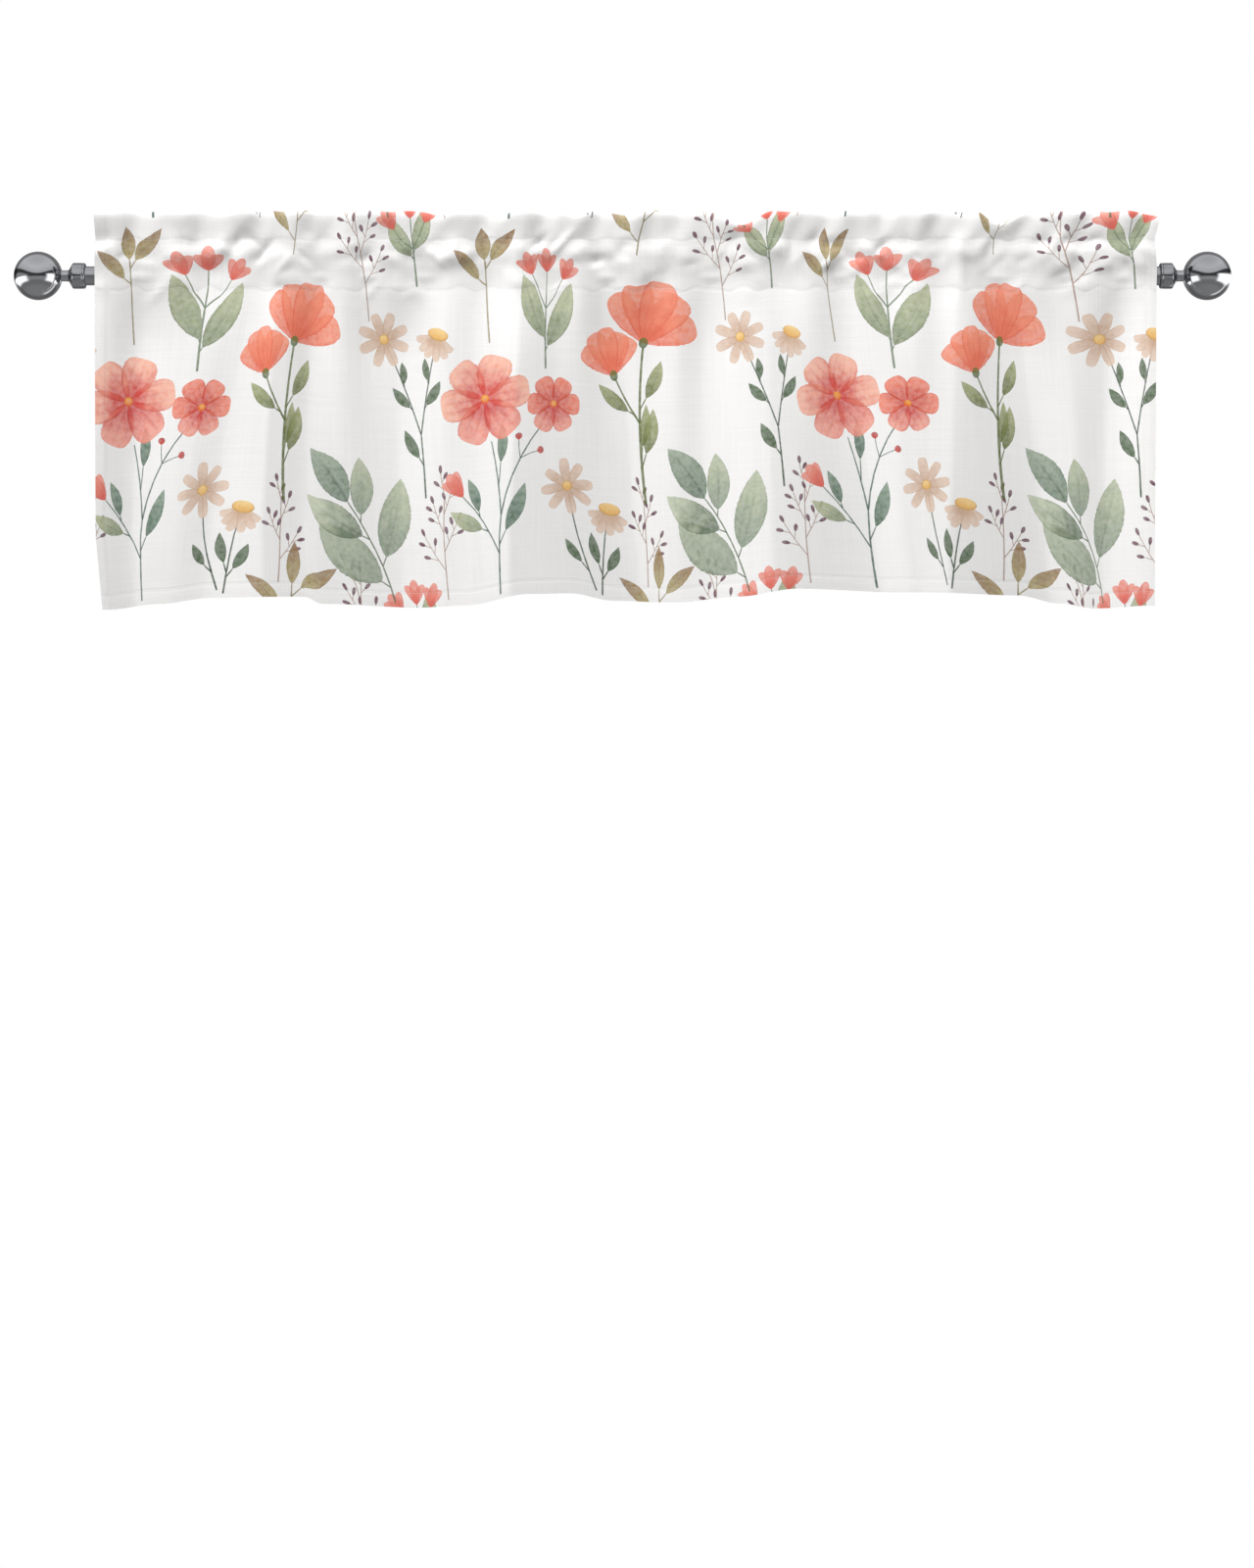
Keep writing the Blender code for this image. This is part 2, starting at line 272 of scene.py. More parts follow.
@dataclass
class Brush:
    """Paints strokes one over another, with a hand that is never quite even."""

    seed: int = 21
    sway: float = 3.0
    stem_step: float = 24.0
    stem_taper: float = 0.3
    outer_petal_loss: float = 0.12
    petal_bend: float = 2.0
    eye_share: float = 0.06
    deep_below: float = -0.6
    strokes: list[Stroke] = field(default_factory=list)

    def __post_init__(self) -> None:
        """Starts the hand's draws."""
        self.hand = np.random.default_rng(self.seed)

    def near(self, value: float, share: float = 0.05) -> float:
        """A value that misses the one asked for by a small share."""
        return value * float(1 + self.hand.uniform(-share, share))

    def stroke(self, ink: Ink, start: Spot, length: float, width: float, bend: float = 0.0) -> None:
        """Paints a leaf, petal or bud from its base to its tip.

        Args:
            ink: Its paint.
            start: Its base, looking at its tip.
            length: From base to tip in mm.
            width: At its widest in mm.
            bend: How far its middle bows aside in mm.
        """
        end = start.onward(self.near(length), float(self.hand.uniform(-self.sway, self.sway)))
        self.strokes.append(Stroke(ink, start.x, start.y, end.x, end.y, self.near(width), bend))

    def stem(self, ink: Ink, stem: Stem, width: float) -> None:
        """Paints a stem in short straight strokes that thin towards its top."""
        count = max(1, math.ceil(stem.length / self.stem_step))
        for number in range(count):
            low, high = stem.at(number / count), stem.at((number + 1) / count)
            thick = width * (1 - self.stem_taper * number / count)
            self.strokes.append(Stroke(ink, low.x, low.y, high.x, high.y, thick))

    def disc(self, ink: Ink, centre: Spot, width: float, height: float) -> None:
        """Paints a round or oval spot, its height along the direction given."""
        low, high = centre.onward(-height / 2), centre.onward(height / 2)
        self.strokes.append(Stroke(ink, low.x, low.y, high.x, high.y, width))

    def fan(self, ink: Ink, base: Spot, petals: int, spread: float, length: float, width: float) -> None:
        """Paints petals spread evenly like a fan, the outer ones first.

        Args:
            ink: Their paint.
            base: Where they all start, looking along the fan's middle.
            petals: How many.
            spread: Degrees from the first to the last.
            length: Of a middle petal in mm.
            width: Of a middle petal in mm.
        """
        sides = [2 * number / (petals - 1) - 1 for number in range(petals)]
        for side in sorted(sides, key=lambda s: (-round(abs(s), 3), s)):
            start = base._replace(angle=base.angle + side * spread / 2)
            small = 1 - self.outer_petal_loss * abs(side)
            self.stroke(ink, start, length * small, width * small, -self.petal_bend * side)

    def whorl(self, ink: Ink, lower: Ink, centre: Spot, petals: int, length: float, width: float) -> None:
        """Paints petals all round a centre, those that point down in a deeper paint.

        Args:
            ink: The paint of most petals.
            lower: The paint of those that point down.
            centre: The flower's middle; its angle is the first petal's.
            petals: How many.
            length: Of each in mm.
            width: Of each in mm.
        """
        turns = [centre.angle + 360 * number / petals for number in range(petals)]
        for turn in sorted(turns, key=lambda t: math.cos(math.radians(t))):
            start = centre._replace(angle=turn).onward(self.eye_share * length)
            paint = lower if math.cos(math.radians(turn)) < self.deep_below else ink
            self.stroke(paint, start, length, width)


class LeafRow(NamedTuple):
    """A leaf on a stem: how far up, its turn off the stem in degrees, and its sizes in mm."""

    share: float
    turn: float
    stalk: float
    length: float
    width: float
    ink: Ink


class BranchRow(NamedTuple):
    """A side branch: how far up its stem, its turn off it and its bow in degrees, and its sizes in mm."""

    share: float
    turn: float
    length: float
    bow: float
    width: float

    def on(self, stem: Stem) -> Stem:
        """The branch on a stem."""
        return Stem(stem.at(self.share, self.turn), self.length, self.bow)


class Plant:
    """A kind of plant in the print; each kind is painted up from its foot."""

    stalk_width: ClassVar[float] = 1.6
    stalk_return: ClassVar[float] = 0.35
    leaf_bend: ClassVar[float] = 0.035

    def paint(self, brush: Brush, foot: Spot) -> None:
        """Paints the plant on its foot."""
        raise NotImplementedError

    def leaves(self, brush: Brush, stem: Stem, stalk_ink: Ink, rows: tuple[LeafRow, ...]) -> None:
        """Paints a stem's leaves with their stalks.

        Args:
            brush: The brush.
            stem: The stem that they grow on.
            stalk_ink: The stalks' paint.
            rows: The leaves.
        """
        for row in rows:
            stalk = Stem(stem.at(row.share, row.turn), row.stalk, -self.stalk_return * row.turn)
            if row.stalk:
                brush.stem(stalk_ink, stalk, self.stalk_width)
            lean = math.copysign(self.leaf_bend * row.length, row.turn)
            brush.stroke(row.ink, stalk.at(1.0), row.length, row.width, lean)


@dataclass(frozen=True)
class SageBranch(Plant):
    """A branch of broad leaves on a bowed stem."""

    length: float = 125.0
    bow: float = 26.0
    rows: tuple[LeafRow, ...] = (
        LeafRow(0.14, 52, 12, 96, 44, Ink.BROAD_SAGE),
        LeafRow(0.34, -54, 12, 90, 40, Ink.SAGE),
        LeafRow(0.60, 48, 10, 78, 34, Ink.PALE_SAGE),
        LeafRow(0.78, -44, 8, 64, 28, Ink.SAGE),
        LeafRow(1.0, -4, 0, 76, 35, Ink.DEEP_SAGE),
    )

    def paint(self, brush: Brush, foot: Spot) -> None:
        """Paints the stem, then its leaves from the foot up."""
        stem = Stem(foot, self.length, self.bow)
        brush.stem(Ink.SAGE_STEM, stem, 2.2)
        self.leaves(brush, stem, Ink.SAGE_STEM, self.rows)


@dataclass(frozen=True)
class ThreeLeafTwig(Plant):
    """A short twig with three brown leaves."""

    length: float = 48.0
    leaf: float = 55.0
    spread: float = 62.0
    lowest: float = 0.45
    leaf_width: float = 15.5
    stalk: float = 0.28
    bow: float = -4.0

    def paint(self, brush: Brush, foot: Spot) -> None:
        """Paints the twig and a leaf to the left, up and to the right."""
        stem = Stem(foot, self.length, self.bow)
        brush.stem(Ink.BROWN_STEM, stem, 1.8)
        for side, height in ((-0.5, 1.0), (0.06, 1.0), (0.62, self.lowest)):
            stalk = Stem(stem.at(height * 0.9, side * self.spread), self.stalk * self.leaf, side * 18)
            brush.stem(Ink.BROWN_STEM, stalk, 1.5)
            length = self.leaf * (0.92 + 0.2 * abs(side))
            brush.stroke(Ink.UMBER, stalk.at(1.0), length, self.leaf_width, -3.0 * side)


@dataclass(frozen=True)
class BudSprig(Plant):
    """A fine sprig whose side twigs alternate, each with dark buds to both sides."""

    height: float = 120.0
    twigs: int = 5
    reach: float = 48.0
    bow: float = 8.0
    lowest: float = 0.28
    bud: float = 9.5
    bud_width: float = 4.2

    def paint(self, brush: Brush, foot: Spot) -> None:
        """Paints the stem, its twigs and their buds."""
        stem = Stem(foot, self.height, self.bow)
        brush.stem(Ink.TWIG, stem, 1.7)
        for number in range(self.twigs):
            share = self.lowest + (1 - self.lowest) * number / (self.twigs - 1)
            side = 1 if number % 2 else -1
            reach = brush.near(self.reach * (1.1 - 0.55 * share))
            twig = Stem(stem.at(share, side * (44 - 26 * share)), reach, -10 * side)
            brush.stem(Ink.TWIG, twig, 1.2)
            self.buds(brush, twig, 5 - round(2 * share))

    def buds(self, brush: Brush, twig: Stem, count: int) -> None:
        """Paints short stalks to both sides of a twig, each ending in a bud."""
        for number in range(count):
            share = 0.36 + 0.64 * number / (count - 1)
            side = (1 if number % 2 else -1) * (share < 1)
            stalk = Stem(twig.at(share, side * 40), brush.near(0.24 * twig.length * (1.25 - 0.6 * share)))
            brush.stem(Ink.TWIG, stalk, 1.0)
            brush.stroke(Ink.PLUM, stalk.at(1.0), self.bud, self.bud_width)


@dataclass(frozen=True)
class PoppyPair(Plant):
    """Two open poppies on one stem with olive leaves."""

    height: float = 186.0
    bow: float = -14.0
    big: float = 74.0
    small: float = 56.0
    petals: int = 5
    side: BranchRow = BranchRow(0.50, 34, 62, -8, 2.6)
    rows: tuple[LeafRow, ...] = (
        LeafRow(0.22, -26, 18, 54, 17, Ink.OLIVE),
        LeafRow(0.28, -12, 14, 50, 13, Ink.OLIVE),
        LeafRow(0.58, -34, 16, 48, 17, Ink.OLIVE),
    )

    def paint(self, brush: Brush, foot: Spot) -> None:
        """Paints the stems and leaves, then the flowers over them."""
        stem = Stem(foot, self.height, self.bow)
        side = self.side.on(stem)
        brush.stem(Ink.OLIVE_STEM, stem, 3.6)
        brush.stem(Ink.OLIVE_STEM, side, self.side.width)
        self.leaves(brush, stem, Ink.OLIVE_STEM, self.rows)
        self.leaves(brush, side, Ink.OLIVE_STEM, (LeafRow(0.18, 34, 8, 48, 17, Ink.OLIVE),))
        for stalk, length, spread in ((stem, self.big, 104), (side, self.small, 88)):
            top = stalk.at(1.0, -12)
            brush.fan(Ink.POPPY, top, self.petals, spread, length, 0.52 * length)
            brush.disc(Ink.CALYX, top, 10.5, 12.5)


@dataclass(frozen=True)
class BloomPlant(Plant):
    """Two open six-petal blooms, a large one and a small one, and a bud on one branching stem."""

    height: float = 92.0
    petal: float = 49.0
    petals: int = 6
    small_share: float = 0.66
    upright: BranchRow = BranchRow(1.0, -10, 88, -8, 2.0)
    right: BranchRow = BranchRow(1.0, 6, 116, 30, 2.2)
    left: BranchRow = BranchRow(0.52, -26, 86, -20, 1.9)

    def paint(self, brush: Brush, foot: Spot) -> None:
        """Paints the stems and leaves, then the berries and flowers over them."""
        stem = Stem(foot, self.height, 6)
        brush.stem(Ink.TEAL_STEM, stem, 2.6)
        upright, right, left = (row.on(stem) for row in (self.upright, self.right, self.left))
        for part, row in ((upright, self.upright), (right, self.right), (left, self.left)):
            brush.stem(Ink.TEAL_STEM, part, row.width)
        self.leaves(brush, stem, Ink.TEAL_STEM, (LeafRow(0.62, 34, 18, 56, 18, Ink.TEAL),))
        self.leaves(brush, upright, Ink.TEAL_STEM, (LeafRow(0.40, 16, 26, 46, 13, Ink.TEAL),))
        tips = (LeafRow(0.36, -42, 10, 44, 17, Ink.PALE_GREEN), LeafRow(0.62, 30, 6, 40, 13, Ink.TEAL))
        self.leaves(brush, left, Ink.TEAL_STEM, tips)
        for turn in (-40, 36):
            stalk = Stem(right.at(0.58, turn), 26, 12)
            brush.stem(Ink.TEAL_STEM, stalk, 1.2)
            brush.disc(Ink.BERRY, stalk.at(1.0), 8.5, 8.0)
        brush.fan(Ink.CORAL, left.at(1.0, 6), 3, 48, 33, 15)
        small = right.at(1.0, -10).onward(26)
        length = self.small_share * self.petal
        brush.whorl(Ink.SCARLET, Ink.DEEP_ROSE, small, self.petals, length, 0.52 * self.petal)
        brush.disc(Ink.AMBER, small, 8, 8)
        middle = upright.at(1.0, 4).onward(50)
        turned = middle._replace(angle=20.0)
        brush.whorl(Ink.ROSE, Ink.DEEP_ROSE, turned, self.petals, self.petal, 0.78 * self.petal)
        brush.disc(Ink.AMBER, middle, 9.5, 10)


@dataclass(frozen=True)
class TulipTrio(Plant):
    """Three small tulips between two long pale leaves."""

    height: float = 72.0
    reach: float = 44.0
    lowest: float = 0.30
    leaf: float = 80.0
    flower: float = 31.0

    def paint(self, brush: Brush, foot: Spot) -> None:
        """Paints the stem and leaves, then a tulip on each of three stalks."""
        stem = Stem(foot, self.height, 4)
        brush.stem(Ink.PALE_STEM, stem, 2.6)
        wide = 0.36 * self.leaf
        left = LeafRow(self.lowest + 0.16, -30, 4, self.leaf, wide, Ink.PALE_GREEN)
        right = LeafRow(self.lowest, 36, 6, self.leaf, wide, Ink.PALE_GREEN)
        self.leaves(brush, stem, Ink.PALE_STEM, (left, right))
        for turn in (-34, 0, 42):
            stalk = Stem(stem.at(1.0, turn), brush.near(self.reach), -0.35 * turn)
            brush.stem(Ink.PALE_STEM, stalk, 1.7)
            brush.fan(Ink.CORAL, stalk.at(1.0), 3, 58, self.flower, 0.44 * self.flower)


@dataclass(frozen=True)
class Daisies(Plant):
    """What the plants with daisies share: the open flower and the one seen from the side."""

    petal: float = 30.0
    petals: int = 8
    side_petals: int = 6
    side_spread: float = 128.0

    def open_daisy(self, brush: Brush, middle: Spot) -> None:
        """Paints a daisy that faces out."""
        brush.whorl(Ink.PEACH, Ink.PEACH, middle, self.petals, self.petal, 0.40 * self.petal)
        brush.disc(Ink.OCHRE, middle, 12.0, 12.0)
        brush.disc(Ink.HONEY, middle, 9.5, 9.5)

    def side_daisy(self, brush: Brush, top: Spot) -> None:
        """Paints a daisy whose petals hang down round its crown."""
        crown = top.onward(8)
        hanging = crown._replace(angle=crown.angle + 180)
        brush.fan(Ink.PEACH, hanging, self.side_petals, self.side_spread, self.petal, 0.36 * self.petal)
        brush.disc(Ink.OCHRE, crown.onward(1), 26, 14)
        brush.disc(Ink.HONEY, crown.onward(2), 24, 12)


@dataclass(frozen=True)
class DaisyPair(Daisies):
    """An open daisy and one seen from the side, on two dark stems with small leaves."""

    height: float = 122.0

    def paint(self, brush: Brush, foot: Spot) -> None:
        """Paints the stems and leaves, then the two flowers."""
        tall = Stem(foot.onward(0, 16), self.height, -8)
        short = Stem(Spot(foot.x - 6, foot.y + 4, foot.angle - 6), 0.76 * self.height, -8)
        for stem in (tall, short):
            brush.stem(Ink.DARK_STEM, stem, 2.0)
        self.leaves(brush, tall, Ink.DARK_STEM, (LeafRow(0.18, 30, 12, 30, 11, Ink.FOREST),))
        pair = (LeafRow(0.26, 26, 12, 36, 12, Ink.FOREST), LeafRow(0.20, -34, 12, 34, 12, Ink.FOREST))
        self.leaves(brush, short, Ink.DARK_STEM, pair)
        self.open_daisy(brush, tall.at(1.0))
        self.side_daisy(brush, short.at(1.0))


@dataclass(frozen=True)
class ForkedDaisies(Daisies):
    """A dark stem that forks, with small leaves and a daisy at the end of each arm."""

    length: float = 72.0
    arm: float = 118.0

    def paint(self, brush: Brush, foot: Spot) -> None:
        """Paints the stem, its two arms and their leaves, then the flowers."""
        stem = Stem(foot, self.length, 3)
        brush.stem(Ink.DARK_STEM, stem, 2.4)
        self.leaves(brush, stem, Ink.DARK_STEM, (LeafRow(0.52, 36, 10, 38, 13, Ink.FOREST),))
        left, right = (Stem(stem.at(1.0, 14 * side), self.arm, 6 * side) for side in (-1, 1))
        for side, arm in ((-1, left), (1, right)):
            brush.stem(Ink.DARK_STEM, arm, 1.9)
            pair = (
                LeafRow(0.26, 34 * side, 4, 32, 12, Ink.FOREST),
                LeafRow(0.50, -26 * side, 3, 26, 9, Ink.FOREST),
            )
            self.leaves(brush, arm, Ink.DARK_STEM, pair)
        self.side_daisy(brush, left.at(0.9, -4))
        self.open_daisy(brush, right.at(1.0))


class Planting(NamedTuple):
    """A plant in the repeat: its kind, its foot in mm, its lean in degrees, and if it is flipped."""

    plant: Plant
    x: float
    y: float
    lean: float = 0.0
    flipped: bool = False

    def paint(self, brush: Brush) -> None:
        """Paints the plant up from its foot, with left and right changed over if it is flipped."""
        first = len(brush.strokes)
        self.plant.paint(brush, Spot(self.x, self.y, self.lean))
        if self.flipped:
            brush.strokes[first:] = [
                stroke._replace(x0=2 * self.x - stroke.x0, x1=2 * self.x - stroke.x1, bend=-stroke.bend)
                for stroke in brush.strokes[first:]
            ]


@dataclass
class MeadowPrint:
    """A loose repeat of ordinary wild flowers, leaves and bud sprigs, in a layout of its own, in mm."""

    width: float = 446.0
    height: float = 446.0
    plantings: tuple[Planting, ...] = (
        Planting(BudSprig(118, 5, 42, 4), 436, 450, -2),
        Planting(BudSprig(150, 6, 46, 10), 342, 134, 4, True),
        Planting(BudSprig(96, 4, 34, 8), 232, 440, -6, True),
        Planting(ThreeLeafTwig(46, 52, 66), 240, 52, -6, True),
        Planting(ThreeLeafTwig(98, 46, 44, 0.75), 44, 160, 5, True),
        Planting(TulipTrio(52, 38, 0.74, 58, 28), 402, 98, 3, True),
        Planting(TulipTrio(), 114, 192, -3),
        Planting(SageBranch(), 366, 452, 12, True),
        Planting(DaisyPair(), 172, 448, 2, True),
        Planting(ForkedDaisies(), 412, 334, 3, True),
        Planting(BloomPlant(), 62, 452, -2),
        Planting(PoppyPair(), 238, 344, 5, True),
    )

    def paint(self) -> list[Stroke]:
        """Paints one repeat.

        Returns:
            Its strokes, the lowest one first.
        """
        brush = Brush()
        for planting in self.plantings:
            planting.paint(brush)
        return brush.strokes

    def over(self, across: np.ndarray, down: np.ndarray) -> list[Stroke]:
        """Lays the repeat over a whole cloth.

        Args:
            across: Places across the cloth in mm.
            down: Places down the cloth in mm.

        Returns:
            Every stroke that can touch the cloth, the lowest one first.
        """
        columns = range(-1, math.ceil(across[-1] / self.width) + 1)
        shifts = [(column * self.width, row * self.height) for column in columns for row in (-1, 0, 1)]
        laid = [stroke.moved(*shift) for stroke in self.paint() for shift in shifts]
        return [stroke for stroke in laid if stroke.touches(across, down)]


@dataclass
class StrokeCells:
    """Works out which strokes each cell of the flat cloth carries."""

    strokes: list[Stroke]
    columns: np.ndarray
    rows: np.ndarray
    layers: int = 6
    samples: int = 6
    slack: float = 0.12
    dropped: int = 0

    def place(self, number: np.ndarray, x: np.ndarray, y: np.ndarray) -> tuple[np.ndarray, np.ndarray]:
        """Each point's share of the way along a stroke, and its distance off the middle in half widths.

        Args:
            number: The strokes' numbers.
            x: Across the print.
            y: Down the print.

        Returns:
            The two values for every point.
        """
        table = np.array([s[1:] for s in self.strokes], float)[number]
        x0, y0, x1, y1, width, bend = np.moveaxis(table, -1, 0)
        long = np.hypot(x1 - x0, y1 - y0)
        dx, dy = (x1 - x0) / long, (y1 - y0) / long
        along = ((x - x0) * dx + (y - y0) * dy) / long
        off = (y - y0) * dx - (x - x0) * dy - bend * 4 * along * (1 - along)
        return along, off / (width / 2)

    def touched(self, number: int) -> tuple[np.ndarray, np.ndarray]:
        """The rows and columns of the cells that a stroke touches."""
        stroke = self.strokes[number]
        spare = stroke.width / 2 + abs(stroke.bend) + 1
        left, right = sorted((stroke.x0, stroke.x1))
        top, bottom = sorted((stroke.y0, stroke.y1))
        c0 = max(0, int(np.searchsorted(self.columns, left - spare)) - 1)
        c1 = min(len(self.columns) - 2, int(np.searchsorted(self.columns, right + spare)))
        r0 = max(0, int(np.searchsorted(self.rows, top - spare)) - 1)
        r1 = min(len(self.rows) - 2, int(np.searchsorted(self.rows, bottom + spare)))
        if c1 < c0 or r1 < r0:
            return np.array([], int), np.array([], int)
        row, column = np.mgrid[r0 : r1 + 1, c0 : c1 + 1]
        steps = np.linspace(0, 1, self.samples)
        x = self.columns[column][..., None, None] + steps * np.diff(self.columns)[column][..., None, None]
        y = self.rows[row][..., None, None] + steps[:, None] * np.diff(self.rows)[row][..., None, None]
        x, y = np.broadcast_arrays(x, y)
        along, off = self.place(np.full(x.shape, number), x, y)
        shape = stroke.ink.value.shape
        peak = shape.base / (shape.base + shape.tip)
        inside = np.clip(along, 1e-4, 1 - 1e-4)
        reach = (inside / peak) ** shape.base * ((1 - inside) / (1 - peak)) ** shape.tip
        cell = float(np.mean(np.diff(self.columns)))
        slack = self.slack * cell / (stroke.width / 2) + self.slack
        hit = (np.abs(off) < reach + slack) & (along > -0.02) & (along < 1.02)
        hit = hit.any(axis=(2, 3))
        return row[hit], column[hit]

    def fill(self) -> np.ndarray:
        """Stacks the strokes' numbers, lowest first, on every cell.

        Returns:
            An array of layer, row and column, with -1 where there is no stroke.
        """
        shape = (self.layers, len(self.rows) - 1, len(self.columns) - 1)
        stack = np.full(shape, -1, int)
        count = np.zeros(shape[1:], int)
        for number in range(len(self.strokes)):
            rows, columns = self.touched(number)
            full = count[rows, columns] >= self.layers
            self.dropped += int(full.sum())
            for row, column in zip(rows[full], columns[full]):
                stack[:-1, row, column] = stack[1:, row, column]
                stack[-1, row, column] = number
            rows, columns = rows[~full], columns[~full]
            stack[count[rows, columns], rows, columns] = number
            count[rows, columns] += 1
        return stack


# Shaders


@dataclass
class Wiring:
    """Adds and joins nodes in one tree."""

    tree: bpy.types.NodeTree

    def node(self, kind: str, **settings: object) -> bpy.types.Node:
        """Adds a node and sets its properties."""
        made = self.tree.nodes.new(kind)
        for name, value in settings.items():
            setattr(made, name, value)
        return made

    def feed(self, socket: bpy.types.NodeSocket, value: object) -> None:
        """Joins a value to a socket: an output is linked, and anything else is set on it."""
        if isinstance(value, bpy.types.NodeSocket):
            self.tree.links.new(value, socket)
        else:
            socket.default_value = value

    def math(self, operation: str, *values: object) -> bpy.types.NodeSocket:
        """A Math node's result."""
        made = self.node("ShaderNodeMath", operation=operation)
        for socket, value in zip(made.inputs, values):
            self.feed(socket, value)
        return made.outputs[0]

    def times(self, one: object, other: object) -> bpy.types.NodeSocket:
        """Two values multiplied."""
        return self.math("MULTIPLY", one, other)

    def plus(self, one: object, other: object) -> bpy.types.NodeSocket:
        """Two values added."""
        return self.math("ADD", one, other)

    def minus(self, one: object, other: object) -> bpy.types.NodeSocket:
        """One value less another."""
        return self.math("SUBTRACT", one, other)

    def over(self, one: object, other: object) -> bpy.types.NodeSocket:
        """One value divided by another."""
        return self.math("DIVIDE", one, other)

    def parts(self, vector: object) -> list[bpy.types.NodeSocket]:
        """A vector's three values."""
        made = self.node("ShaderNodeSeparateXYZ")
        self.feed(made.inputs[0], vector)
        return list(made.outputs)

    def mix(self, share: object, low: object, high: object, blend: str = "MIX") -> bpy.types.NodeSocket:
        """A colour between two colours."""
        made = self.node("ShaderNodeMix", data_type="RGBA", blend_type=blend)
        self.feed(made.inputs["Factor"], share)
        self.feed(made.inputs[6], low)
        self.feed(made.inputs[7], high)
        return made.outputs[2]

    def span(
        self, value: object, low: object, high: object, to_low: object = 0.0, to_high: object = 1.0
    ) -> bpy.types.NodeSocket:
        """A value mapped smoothly from one range to another."""
        made = self.node("ShaderNodeMapRange", interpolation_type="SMOOTHSTEP")
        for socket, given in zip(made.inputs, (value, low, high, to_low, to_high)):
            self.feed(socket, given)
        return made.outputs[0]

    def noise(self, place: object, scale: float, detail: float = 2.0) -> bpy.types.NodeSocket:
        """A noise texture's value."""
        made = self.node("ShaderNodeTexNoise")
        self.feed(made.inputs["Vector"], place)
        self.feed(made.inputs["Scale"], scale)
        self.feed(made.inputs["Detail"], detail)
        return made.outputs["Fac"]

    def scaled(self, place: object, factors: tuple[float, float, float]) -> bpy.types.NodeSocket:
        """A place multiplied along each axis."""
        made = self.node("ShaderNodeVectorMath", operation="MULTIPLY")
        self.feed(made.inputs[0], place)
        self.feed(made.inputs[1], factors)
        return made.outputs[0]

    def bands(self, place: object, colours: list[tuple[float, float, float, float]]) -> bpy.types.Node:
        """A colour ramp of flat bands, one for each colour."""
        made = self.node("ShaderNodeValToRGB")
        made.color_ramp.interpolation = "CONSTANT"
        stops = made.color_ramp.elements
        while len(stops) > 1:
            stops.remove(stops[-1])
        for number, colour in enumerate(colours):
            stop = stops[0] if number == 0 else stops.new(number / len(colours))
            stop.position = number / len(colours)
            stop.color = colour
        self.feed(made.inputs[0], place)
        return made

    def use(self, group: bpy.types.NodeTree, **values: object) -> bpy.types.Node:
        """Places a node group and feeds its inputs by name."""
        made = self.node("ShaderNodeGroup", node_tree=group)
        for name, value in values.items():
            self.feed(made.inputs[name], value)
        return made


def new_group(name: str, inputs: dict[str, tuple[str, object]], outputs: dict[str, str]) -> tuple:
    """Starts a shader node group.

    Args:
        name: The group's name.
        inputs: Each input's socket kind and default value.
        outputs: Each output's socket kind.

    Returns:
        The group, its wiring, and its input and output nodes.
    """
    group = bpy.data.node_groups.new(name, "ShaderNodeTree")
    for label, (kind, value) in inputs.items():
        socket = group.interface.new_socket(label, in_out="INPUT", socket_type=f"NodeSocket{kind}")
        if value is not None:
            socket.default_value = value
    for label, kind in outputs.items():
        group.interface.new_socket(label, in_out="OUTPUT", socket_type=f"NodeSocket{kind}")
    wiring = Wiring(group)
    return group, wiring, wiring.node("NodeGroupInput"), wiring.node("NodeGroupOutput")


GroupMaker = Callable[["ShaderKit"], bpy.types.NodeTree]


def built_once(build: GroupMaker) -> GroupMaker:
    """Keeps a node group for the next finish that asks for it."""

    def kept(kit: "ShaderKit") -> bpy.types.NodeTree:
        """Builds the group the first time, and hands it back after that."""
        if build.__name__ not in kit.groups:
            kit.groups[build.__name__] = build(kit)
        return kit.groups[build.__name__]

    return kept


